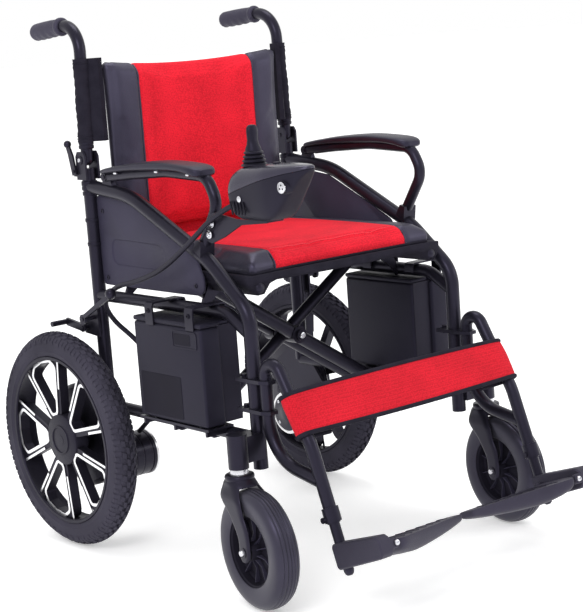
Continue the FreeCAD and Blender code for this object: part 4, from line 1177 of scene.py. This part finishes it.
def make_shell_bottom():
    """The lower half, with its vents, a disc and the charging socket with its three pins."""
    form = shell_half(False)
    for step in range(5):
        slot = bmesh.new()
        prism(slot, rounded([(-1.6, -11), (1.6, -11), (1.6, 11), (-1.6, 11)], 1.4, 3), -0.8, 0.8, 1)
        add_form(form, slot, slot_place(Vector((SHELL_SIDE, -520 - 8 * step, 653)), 14))
    turned(form, [(0, 0), (5, 0), (5, 1.6), (4.2, 2.2), (0, 2.4)],
           slot_place(Vector((SHELL_SIDE, -542, 668)), 0), 2, 32)
    turned(form, [(9.4, -16), (11.5, -16), (11.0, -2), (10.3, -0.4), (9.4, -0.4)],
           slot_place(Vector((-264, -640, 688)), 0))
    face = bmesh.new()
    lathe(face, [(0, -3), (8.4, -3), (8.4, 0.6), (7.8, 1.1), (0, 1.1)], 2, 48)
    for angle in (90, 210, 330):
        pin = bmesh.new()
        centre = (3.8 * math.cos(math.radians(angle)), 3.8 * math.sin(math.radians(angle)))
        prism(pin, circle(1.5, 16, centre), 0.5, 1.3, 1)
        add_form(face, pin)
    add_form(form, face, slot_place(Vector((-265, -640, 688)), 0))
    return form


def slot_place(place, tilt):
    """A matrix in millimetres on the controller's outer side, local Z outwards, turned by a tilt."""
    turn = Matrix(((0, -1, 0), (0, 0, 1), (-1, 0, 0))).transposed().to_4x4()
    return Matrix.Translation(place) @ turn @ Matrix.Rotation(math.radians(tilt), 4, "Z")


placed("controller_top", make_shell_top(), MILLIMETRES, [PLASTIC_TOP, PLASTIC], "armrest_right",
       ["controller_upper_shell"], sharp=45)
placed("controller_base", make_shell_bottom(), MILLIMETRES, [PLASTIC, PLASTIC_DARK, STEEL], "armrest_right",
       ["controller_lower_shell"], sharp=45)


def make_stick():
    """The joystick: a pleated boot and a tapered, flattened knob."""
    form = bmesh.new()
    base = 8
    profile = [(0, base)]
    for ring in range(4):
        height = base + 2 + ring * 6.4
        width = 20.5 - ring * 1.6
        profile += [(width - 2.6, height - 1.4), (width, height), (width, height + 2.6),
                    (width - 2.6, height + 4)]
    profile += [(13, base + 28), (10, base + 35), (8.2, base + 42), (8.6, base + 56), (8.0, base + 62),
                (5.6, base + 66), (0, base + 67)]
    lathe(form, profile, segments=64)
    for vertex in form.verts:
        rise = smoothstep(base + 30, base + 46, vertex.co.z)
        vertex.co.y *= 1 - 0.22 * rise
        vertex.co.x *= 1 + 0.22 * rise
    return form


placed("joystick_boot", make_stick(), stand(STICK, (1, 0, 0), (0, 1, 0), (0, 0, 1)), [PLASTIC], "stick",
       ["joystick"], sharp=50)


# Footrests

FOOT_PIVOT = joint_point("footplate_right_flip")
FOOT_AXIS = Vector(JOINTS["footplate_right_flip"]["axis"]).normalized()
FOOT_AHEAD = FOOT_AXIS if FOOT_AXIS.y < 0 else -FOOT_AXIS
FOOT_UP = Vector((1, 0, 0)).cross(FOOT_AHEAD)
FOOT_UP = FOOT_UP if FOOT_UP.z > 0 else -FOOT_UP
FOOT = stand(FOOT_PIVOT, (1, 0, 0), FOOT_AHEAD, FOOT_UP)
PLATE_REACH = 203
BLOCK_LOW = -27
BLOCK_X = -21


def make_footplate():
    """The moulded plate: a flat tread on a deep belly that thins to the tip, with ribs and a hinge barrel."""
    form = bmesh.new()
    rings = []
    stations = [(3, 22, 92, 12, 7), (8, 8, 104, 17, 6), (20, 2, 110, 23, 5), (60, 4, 96, 29, 5),
                (110, 7, 79, 26, 5), (160, 10, 63, 20, 5), (190, 12, 53, 15, 5), (200, 14, 50, 12, 4.6),
                (PLATE_REACH, 18, 46, 8, 3)]
    for inward, rear, front, deep, top in spline_stations(stations, 5):
        ring = []
        for step in range(32):
            angle = 2 * math.pi * step / 32
            across = powered(math.cos(angle), 0.42)
            up = math.sin(angle)
            middle, half = (rear + front) / 2, (front - rear) / 2
            if up >= 0:
                height = top - 2.2 * (1 - up ** 0.5)
            else:
                height = top - 2.2 - (deep - 2.2) * abs(up) ** 0.8
            ring.append(Vector((inward, middle + half * across, height)))
        rings.append(ring)
    loft(form, rings)
    for rib in range(7):
        inward = 34 + 22 * rib
        shrink = rib * 7
        path = [(inward, 16 + rib * 1.2, 4.9), (inward + 4, (96 - shrink) / 2 + 4, 5.3),
                (inward, 92 - shrink, 4.9)]
        sweep(form, path, 1.5, 8, flat=0.6)
    sweep(form, [(0, 16, 0), (0, 96, 0)], 6, 28)
    bmesh.ops.recalc_face_normals(form, faces=form.faces)
    return form


def make_foot_block():
    """The foot tube, the moulded block that it carries, the hinge's ears and pin, and a rubber nub."""
    form = bmesh.new()
    corners = ((-10, 6), (100, 9), (108, 15), (108, 38), (99, 45), (-10, 49))
    slab = bmesh.new()
    prism(slab, rounded([(ahead, up + BLOCK_LOW) for ahead, up in corners], 8, 5), -13, 13, 0, 2.5)
    add_form(form, slab, Matrix(((0, 0, 1, BLOCK_X), (1, 0, 0, 0), (0, 1, 0, 0), (0, 0, 0, 1))))
    sweep(form, [(BLOCK_X, 0, BLOCK_LOW + 10), (BLOCK_X, 0, BLOCK_LOW + 139)], 8.9, 28, 1)
    for y in (3, 97):
        ear = bmesh.new()
        prism(ear, rounded([(-12, -9), (3, -8), (6, 0), (3, 8), (-12, 9)], 4, 4), 0, 11, 0, 1.5)
        add_form(form, ear, Matrix(((1, 0, 0, 0), (0, 0, 1, y), (0, 1, 0, 0), (0, 0, 0, 1))))
    for y, way in ((1.5, -1), (109.5, 1)):
        screw_head(form, Vector((0, y, 0)), (0, way, 0), 4.6, 3, 2)
    turned(form, [(0, -9), (4, -8.5), (7, -6), (8.5, -1), (8.5, 3), (0, 3)],
           Matrix.Translation((BLOCK_X, 2, BLOCK_LOW + 3)), 3, 32)
    return form


both("footplate_moulded", make_footplate, FOOT, [PLASTIC_FOOT], "flip_plate_%s",
     ["footplate_%s"], sharp=40)
both("foot_block", make_foot_block, FOOT, [PLASTIC_FOOT, PAINT, STEEL, PAD], "footrest_%s",
     ["foot_tube_%s"])


# The lead from the controller to the drive, one fixed piece that rides with no body.

CABLE_RADIUS = 4.5
CABLE_COURSE = [
    (-257, -510, 657), (-261, -458, 638), (-266, -392, 590), (-266, -310, 540), (-265, -228, 512),
    (-264, -150, 497), (-259, -100, 464), (-236, -92, 425), (-208, -118, 388), (-192, -162, 340),
    (-188, -166, 282), (-192, -122, 236), (-196, -84, 206),
]


cable_path = [mm(*point) for point in curve_points(CABLE_COURSE, 14)]
cable_form = bmesh.new()
sweep(cable_form, cable_path, CABLE_RADIUS / 1000, 20)
cable = placed("controller_lead", cable_form, IDENTITY, [CABLE], None, ["controller_cable"],
               ride=False)
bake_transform(cable)


# Battery case, drawn in millimetres from the axle

CASE_LOW, CASE_HIGH = Vector((-289, -430, 279)), Vector((-205, -236, 457))
CASE_SPLIT = -247
CASE_LID = 9
HOOK_PLACES = (-415, -300)
HOOK_WIDTH = 22
HOOK_TOP = 484.5


def side_patch(form, low_y, high_y, low_z, high_z, depth, corner, material, rim=0.0):
    """A raised or framed rounded rectangle on the case's outer face."""
    patch = bmesh.new()
    outline = rounded([(low_y, low_z), (high_y, low_z), (high_y, high_z), (low_y, high_z)], corner, 4)
    prism(patch, outline, -1, depth, material, min(0.3, depth / 2))
    if rim:
        band(patch, outline, offset(outline, rim), -1, depth + 0.7, 0)
    add_form(form, patch, Matrix(((0, 0, -1, CASE_LOW.x), (1, 0, 0, 0), (0, 1, 0, 0), (0, 0, 0, 1))))


def make_case():
    """Two moulded shells with their lids, side by side, with a hand recess, a label, hooks and screws."""
    form = bmesh.new()
    rounded_box(form, CASE_LOW, (CASE_SPLIT - 1.2, CASE_HIGH.y, CASE_HIGH.z - CASE_LID), 5, 4)
    rounded_box(form, (CASE_SPLIT + 1.2, CASE_LOW.y + 7, CASE_LOW.z + 4),
                (CASE_HIGH.x, CASE_HIGH.y - 4, CASE_HIGH.z - CASE_LID), 5, 4)
    rounded_box(form, CASE_LOW + Vector((4, 10, 6)), CASE_HIGH - Vector((4, 6, 4)), 3, 2, 1)
    rounded_box(form, (CASE_LOW.x - 0.4, CASE_LOW.y - 0.4, CASE_HIGH.z - CASE_LID + 0.7),
                (CASE_SPLIT - 0.8, CASE_HIGH.y + 0.4, CASE_HIGH.z), 3.2, 4)
    rounded_box(form, (CASE_SPLIT + 0.8, CASE_LOW.y + 6.6, CASE_HIGH.z - CASE_LID + 0.7),
                (CASE_HIGH.x + 0.4, CASE_HIGH.y - 3.6, CASE_HIGH.z - 1), 3.2, 4)
    side_patch(form, -416, -352, 414, 440, 0.5, 4, 0, 2.2)
    side_patch(form, -400, -354, 417, 437, 0.9, 3, 1)
    side_patch(form, -364, -248, 286, 360, 0.6, 4, 1)
    for y in HOOK_PLACES:
        make_hook(form, y)
    for y in (-398, -268):
        screw_head(form, Vector((CASE_LOW.x + 10, y, CASE_LOW.z)), (0, 0, -1), 4, 3, 2)
    return form


def make_hook(form, y):
    """A flat steel strap from the lid over the rail, with its screw."""
    bend = [(CASE_LOW.x - 1.5, CASE_HIGH.z - 12), (CASE_LOW.x - 1.5, HOOK_TOP - 7),
            (CASE_LOW.x + 0.5, HOOK_TOP - 2.6), (CASE_LOW.x + 4, HOOK_TOP - 1.5), (-226, HOOK_TOP - 1.5),
            (-222, HOOK_TOP - 2.6), (-220.5, HOOK_TOP - 6), (-220.5, 467)]
    outer = offset_line(bend, 1.5)
    inner = offset_line(bend, -1.5)
    rings = []
    for place in (y, y + 0.6, y + HOOK_WIDTH - 0.6, y + HOOK_WIDTH):
        rings.append([Vector((point[0], place, point[1])) for point in outer + inner[::-1]])
    loft(form, rings, 3)
    screw_head(form, Vector((CASE_LOW.x - 3, y + HOOK_WIDTH / 2, 470)), (-1, 0, 0), 4.2, 2.4, 1)


def offset_line(points, distance):
    """An open line in the plane, moved to one side."""
    moved = []
    for index, point in enumerate(points):
        before = Vector(points[max(index - 1, 0)])
        after = Vector(points[min(index + 1, len(points) - 1)])
        along = (after - before).normalized()
        moved.append(Vector(point) + Vector((-along.y, along.x)) * distance)
    return moved


both("battery_case_moulded", make_case, MILLIMETRES, [PLASTIC_CASE, PLASTIC_DARK, STEEL, PAINT], "%s_frame",
     ["battery_case_%s"], sharp=40)


# Side panels

PANEL_OUTLINE = [(-66, 656), (-130, 650), (-184, 643), (-300, 590), (-354, 563), (-374, 520), (-374, 500),
                 (-362, 491), (-300, 490), (-66, 490)]
RECESS_OUTLINE = [(-104, 576), (-264, 572), (-264, 528), (-104, 530)]
RECESS_CENTRE = Vector((-184, 552))
PANEL_THICKNESS = 5


def seen_from(outline, centre, count):
    """The points of an outline at equal angles round a centre inside it."""
    found = []
    sides = list(zip(outline, outline[1:] + outline[:1]))
    for step in range(count):
        angle = 2 * math.pi * step / count
        ray = Vector((math.cos(angle), math.sin(angle)))
        reach = 0
        for start, end in sides:
            start, run = Vector(start) - centre, Vector(end) - Vector(start)
            cross = ray.x * run.y - ray.y * run.x
            if abs(cross) < 1e-9:
                continue
            distance = (start.x * run.y - start.y * run.x) / cross
            share = (start.x * ray.y - start.y * ray.x) / cross
            if distance > 0 and -1e-6 <= share <= 1 + 1e-6:
                reach = max(reach, distance)
        found.append(centre + ray * reach)
    return found


def make_side_panel():
    """A moulded guard with a rounded rim and a shallow oblong recess."""
    form = bmesh.new()
    count = 240
    edge = seen_from(rounded(PANEL_OUTLINE, 12, 8), RECESS_CENTRE, count)
    recess = seen_from(rounded(RECESS_OUTLINE, 20, 8), RECESS_CENTRE, count)
    rings = []
    courses = ((edge, 1.2, 0), (edge, 0, 1.2), (edge, 0, 3.6), (edge, 0.6, 4.6), (edge, 2.0, PANEL_THICKNESS),
               (recess, -2.5, PANEL_THICKNESS), (recess, -1.0, 4.6), (recess, 0, 3.4), (recess, 1.5, 2.8))
    for outline, inset, height in courses:
        rings.append([Vector((*point, height)) for point in
                      [place + (RECESS_CENTRE - place).normalized() * inset for place in outline]])
    loft(form, rings)
    for y, z in ((-84, 626), (-84, 504), (-352, 508)):
        screw_head(form, Vector((y, z, PANEL_THICKNESS)), (0, 0, 1), 4.2, 2, 1)
    return form


both("side_panel_moulded", make_side_panel, stand(mm(-227, 0, 0), (0, 1, 0), (0, 0, 1), (-1, 0, 0)),
     [PLASTIC_PANEL, PAINT], "%s_frame", ["side_panel_%s"], sharp=50)


# Gear housings and motors


def make_gear_housing():
    """The drum behind the wheel, ribbed round its rim, with its bolts and the fixed axle."""
    form = bmesh.new()
    lathe(form, [(0, -49.2), (86, -49.2), (88, -48.4), (91, -48.4), (95, -47.6), (98, -45), (98, -43.6),
                 (96.8, -43), (96.8, -41.6), (98, -41), (98, -37.6), (96.8, -37), (96.8, -35.6), (98, -35),
                 (98, -33.5), (95, -30.5), (90, -26.6), (30, -26), (26, -16), (10, -16), (10, 19), (0, 19)],
          segments=120)
    for step in range(8):
        screw_head(form, polar(90, 2 * math.pi * (step + 0.5) / 8, -48.4), (0, 0, -1), 3.6, 2.6, 1)
    return form


def make_motor():
    """The motor's barrel: ring lines, a bright end ring and a dark end cap with its screws."""
    form = bmesh.new()
    barrel = [(0, 0), (28, 0), (28, 7), (41, 7), (42, 8)]
    for height in (22, 40):
        barrel += [(42, height), (41.2, height + 0.8), (41.2, height + 2.4), (42, height + 3.2)]
    barrel += [(42, 60.5), (41.2, 61.2), (41.2, 62.6), (42.6, 63.4), (42.6, 69.6), (36, 70), (0, 70)]
    lathe(form, barrel, 0, 96)
    lathe(form, [(36, 69.5), (43, 69.5), (43, 73.5), (41.5, 75.2), (38, 76), (36, 75)], 1, 96)
    lathe(form, [(0, 60), (37, 60), (37, 75.4), (30, 76.4), (16, 76.8), (14, 78), (0, 78)], 0, 72)
    for step in range(4):
        screw_head(form, polar(30, math.pi / 4 + math.pi * step / 2, 76.2), (0, 0, 1), 3.4, 1.8, 2)
    return form


both("gear_housing", make_gear_housing, WHEEL, [MOTOR_BLACK, STEEL], "%s_frame",
     ["gearbox_%s"])
both("motor_barrel", make_motor, stand(mm(-247.8, -70, 162), (0, 1, 0), (0, 0, 1), (1, 0, 0)),
     [MOTOR_BLACK, SILVER, STEEL], "%s_frame", ["motor_%s"])


# Push grips

CANE_FOOT = mm(-236, -55, 720)
CANE_TOP = mm(-229, -55, 965)
CANE_UP = (CANE_TOP - CANE_FOOT).normalized()
GRIP_END = mm(-223, 98, 954)
GRIP_ALONG = (GRIP_END - CANE_TOP).normalized()
GRIP_ACROSS = Vector((1, 0, 0)).cross(GRIP_ALONG).normalized()
GRIP_LENGTH = 98
GRIP_PROFILE = [(-1, 12.6), (0, 14.5), (2, 16.6), (6, 17), (8, 16.4), (11, 15.2), (18, 15.4), (40, 16.2),
                (62, 16.4), (84, 16.2), (94, 15.8), (99, 14), (101.5, 11), (102.4, 7), (102.6, 0.5)]


def make_grip():
    """A soft rubber grip: a collar, finger swells underneath, fine rings and a round end."""
    form = bmesh.new()
    rings = []
    for along in between(-1, 96, 120) + between(96.4, 102.6, 14):
        ring = []
        radius = along_table(GRIP_PROFILE, along)
        fine = 0.35 * (0.5 - 0.5 * math.cos(along * math.pi)) if 12 < along < 92 else 0
        for step in range(40):
            angle = 2 * math.pi * step / 40
            under = max(0.0, -math.sin(angle))
            swell = 0.5 - 0.5 * math.cos((along - 12) * 2 * math.pi / 21)
            finger = 1.3 * under * swell if 12 < along < 96 else 0
            ring.append(polar(radius - fine - finger, angle, along))
        rings.append(ring)
    loft(form, rings)
    return form


GRIP_PLACE = stand(GRIP_END - GRIP_ALONG * GRIP_LENGTH / 1000, GRIP_ALONG.cross(GRIP_ACROSS) * -1,
                   GRIP_ACROSS, GRIP_ALONG)
both("grip_moulded", make_grip, GRIP_PLACE, [GRIP], "backrest_%s", ["grip_%s"], sharp=0)


# Small fittings on the frame


def facing_out(x, y, z):
    """A matrix at a place, with local Z towards the near side."""
    return Matrix.Translation((x, y, z)) @ Matrix.Rotation(-math.pi / 2, 4, "Y")


def make_hinge_fittings():
    """The collar under the folding joint, three rings on the post, and the joint pin's washer and head."""
    form = bmesh.new()
    centre = Matrix.Translation((-236, -55, 0))
    turned(form, [(12.6, 664), (14.2, 664.6), (14.8, 666), (14.8, 670), (14.0, 671), (14.0, 672.4),
                  (14.8, 673.4), (14.8, 679), (14.2, 681), (12.6, 681.6)], centre, 0, 64)
    for low, radius in ((655, 14.2), (606, 14.0), (562, 13.8)):
        turned(form, [(12.5, low), (radius - 0.4, low), (radius, low + 0.6), (radius, low + 6),
                      (radius - 0.4, low + 6.6), (12.5, low + 6.6)], centre, 0, 56)
    turned(form, [(3, 0), (8.2, 0), (8.2, 1), (7.4, 1.6), (3, 1.6)], facing_out(-251.6, -55, 720), 0, 40)
    screw_head(form, Vector((-253, -55, 720)), (-1, 0, 0), 3.8, 2.6, 1)
    return form


def make_cane_collar():
    """The moulded ring on the cane just above the folding joint."""
    form = bmesh.new()
    lathe(form, [(11.1, 0), (13.2, 0.6), (14.0, 2), (14.0, 6), (13.2, 7), (13.2, 8.4), (14.0, 9.4),
                 (13.6, 13), (11.1, 14)], 0, 64)
    return form


both("hinge_fittings", make_hinge_fittings, MILLIMETRES, [PLASTIC, STEEL], "%s_frame")
COLLAR_PLACE = stand(CANE_FOOT + CANE_UP * 0.019, (0, -1, 0), Vector((0, -1, 0)).cross(CANE_UP) * -1, CANE_UP)
both("cane_collar", make_cane_collar, COLLAR_PLACE, [PLASTIC], "backrest_%s")


def make_bracket_bolts():
    """Two bright bolts with washers that clamp the controller's bracket to the armrest."""
    form = bmesh.new()
    for y, z in ((-430, 603), (-438, 622)):
        turned(form, [(2, 0), (7, 0), (7, 1), (6.4, 1.5), (2, 1.5)], facing_out(-253.6, y, z), 0, 36)
        screw_head(form, Vector((-254.8, y, z)), (-1, 0, 0), 4.2, 3.4, 0)
    return form


placed("bracket_bolts", make_bracket_bolts(), MILLIMETRES, [STEEL], "armrest_right")


def make_cross_bolt():
    """The brace's pivot bolt: dark washers, a shaft between the arms and a small bright head."""
    form = bmesh.new()
    low, high = CROSS_LOW.y * 1000, CROSS_HIGH.y * 1000
    lathe(form, [(0, low + 1), (10, low + 1), (10, low + 3), (6, low + 4), (6, high - 4), (10, high - 3),
                 (10, high - 1), (0, high - 1)], 0, 48)
    for place, way in ((low + 1, -1), (high - 1, 1)):
        screw_head(form, Vector((0, 0, place)), (0, 0, way), 6.2, 4, 1)
    return form


CROSS_LOW, CROSS_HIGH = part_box("cross_bolt")
CROSS_MIDDLE = (CROSS_LOW + CROSS_HIGH) / 2
placed("cross_bolt_fitted", make_cross_bolt(),
       stand(Vector((CROSS_MIDDLE.x, 0, CROSS_MIDDLE.z)), (0, 0, 1), (1, 0, 0), (0, 1, 0)), [PLASTIC, STEEL],
       "brace_arm_a", ["cross_bolt"])


# Camera, floor and light

CAMERA_PLACE = Vector((-1.86187, -2.58707 + AXLE_Y, 0.93128))
CAMERA_YAW = math.radians(39.406)
CAMERA_PITCH = math.radians(9.658)
CAMERA_ROLL = math.radians(-4.188)
CAMERA_LENS = 96.4


def make_camera():
    """The camera at the front right of the chair, a little above the armrests."""
    ahead = Vector((math.cos(CAMERA_PITCH) * math.sin(CAMERA_YAW),
                    math.cos(CAMERA_PITCH) * math.cos(CAMERA_YAW), -math.sin(CAMERA_PITCH)))
    level = Vector((math.cos(CAMERA_YAW), -math.sin(CAMERA_YAW), 0))
    above = level.cross(ahead)
    across = level * math.cos(CAMERA_ROLL) + above * math.sin(CAMERA_ROLL)
    up = above * math.cos(CAMERA_ROLL) - level * math.sin(CAMERA_ROLL)
    data = bpy.data.cameras.new("camera")
    data.lens = CAMERA_LENS
    data.sensor_width = 36
    camera = bpy.data.objects.new("camera", data)
    bpy.context.scene.collection.objects.link(camera)
    turn = Matrix((across, up, -ahead)).transposed()
    camera.matrix_world = Matrix.Translation(CAMERA_PLACE) @ turn.to_4x4()
    bpy.context.scene.camera = camera


def make_floor():
    """A pale floor that reaches far behind the chair."""
    mesh = bpy.data.meshes.new("floor")
    reach = 60
    mesh.from_pydata([(-reach, -reach, -0.0005), (reach, -reach, -0.0005), (reach, reach, -0.0005),
                      (-reach, reach, -0.0005)], [], [(0, 1, 2, 3)])
    floor = bpy.data.objects.new("floor", mesh)
    bpy.context.scene.collection.objects.link(floor)
    material, tree, shader = new_material("floor_pale")
    grain = object_texture(tree, "ShaderNodeTexNoise", 3.0, Detail=2.0)
    shade = ramp(tree, (0.93, 0.93, 0.93), (0.96, 0.96, 0.96))
    link(tree, grain, "Fac", shade, "Fac")
    link(tree, shade, "Color", shader, "Base Color")
    shader.inputs["Roughness"].default_value = 0.85
    shader.inputs["Specular IOR Level"].default_value = 0.1
    shader.inputs["Emission Color"].default_value = (1, 1, 1, 1)
    shader.inputs["Emission Strength"].default_value = 0.30
    mesh.materials.append(material)


def area_light(name, place, target, size, power):
    """A soft rectangular lamp aimed at a point."""
    data = bpy.data.lights.new(name, "AREA")
    data.shape = "RECTANGLE"
    data.size = size
    data.size_y = size * 0.7
    data.energy = power
    lamp = bpy.data.objects.new(name, data)
    bpy.context.scene.collection.objects.link(lamp)
    lamp.location = place
    lamp.rotation_euler = (Vector(target) - Vector(place)).to_track_quat("-Z", "Y").to_euler()


def make_light():
    """A white surround with soft lamps left, right and above."""
    world = bpy.data.worlds.new("studio")
    world.use_nodes = True
    world.node_tree.nodes["Background"].inputs["Color"].default_value = (1, 1, 1, 1)
    world.node_tree.nodes["Background"].inputs["Strength"].default_value = 1.0
    bpy.context.scene.world = world
    middle = (0, 0, 0.5)
    area_light("lamp_left", (-2.6, -1.6, 2.4), middle, 1.6, 42)
    area_light("lamp_right", (2.4, -2.6, 1.8), middle, 1.4, 16)
    area_light("lamp_top", (0.2, 0.4, 3.2), middle, 1.6, 26)


make_camera()
make_floor()
make_light()
bpy.context.scene.view_settings.view_transform = "Standard"
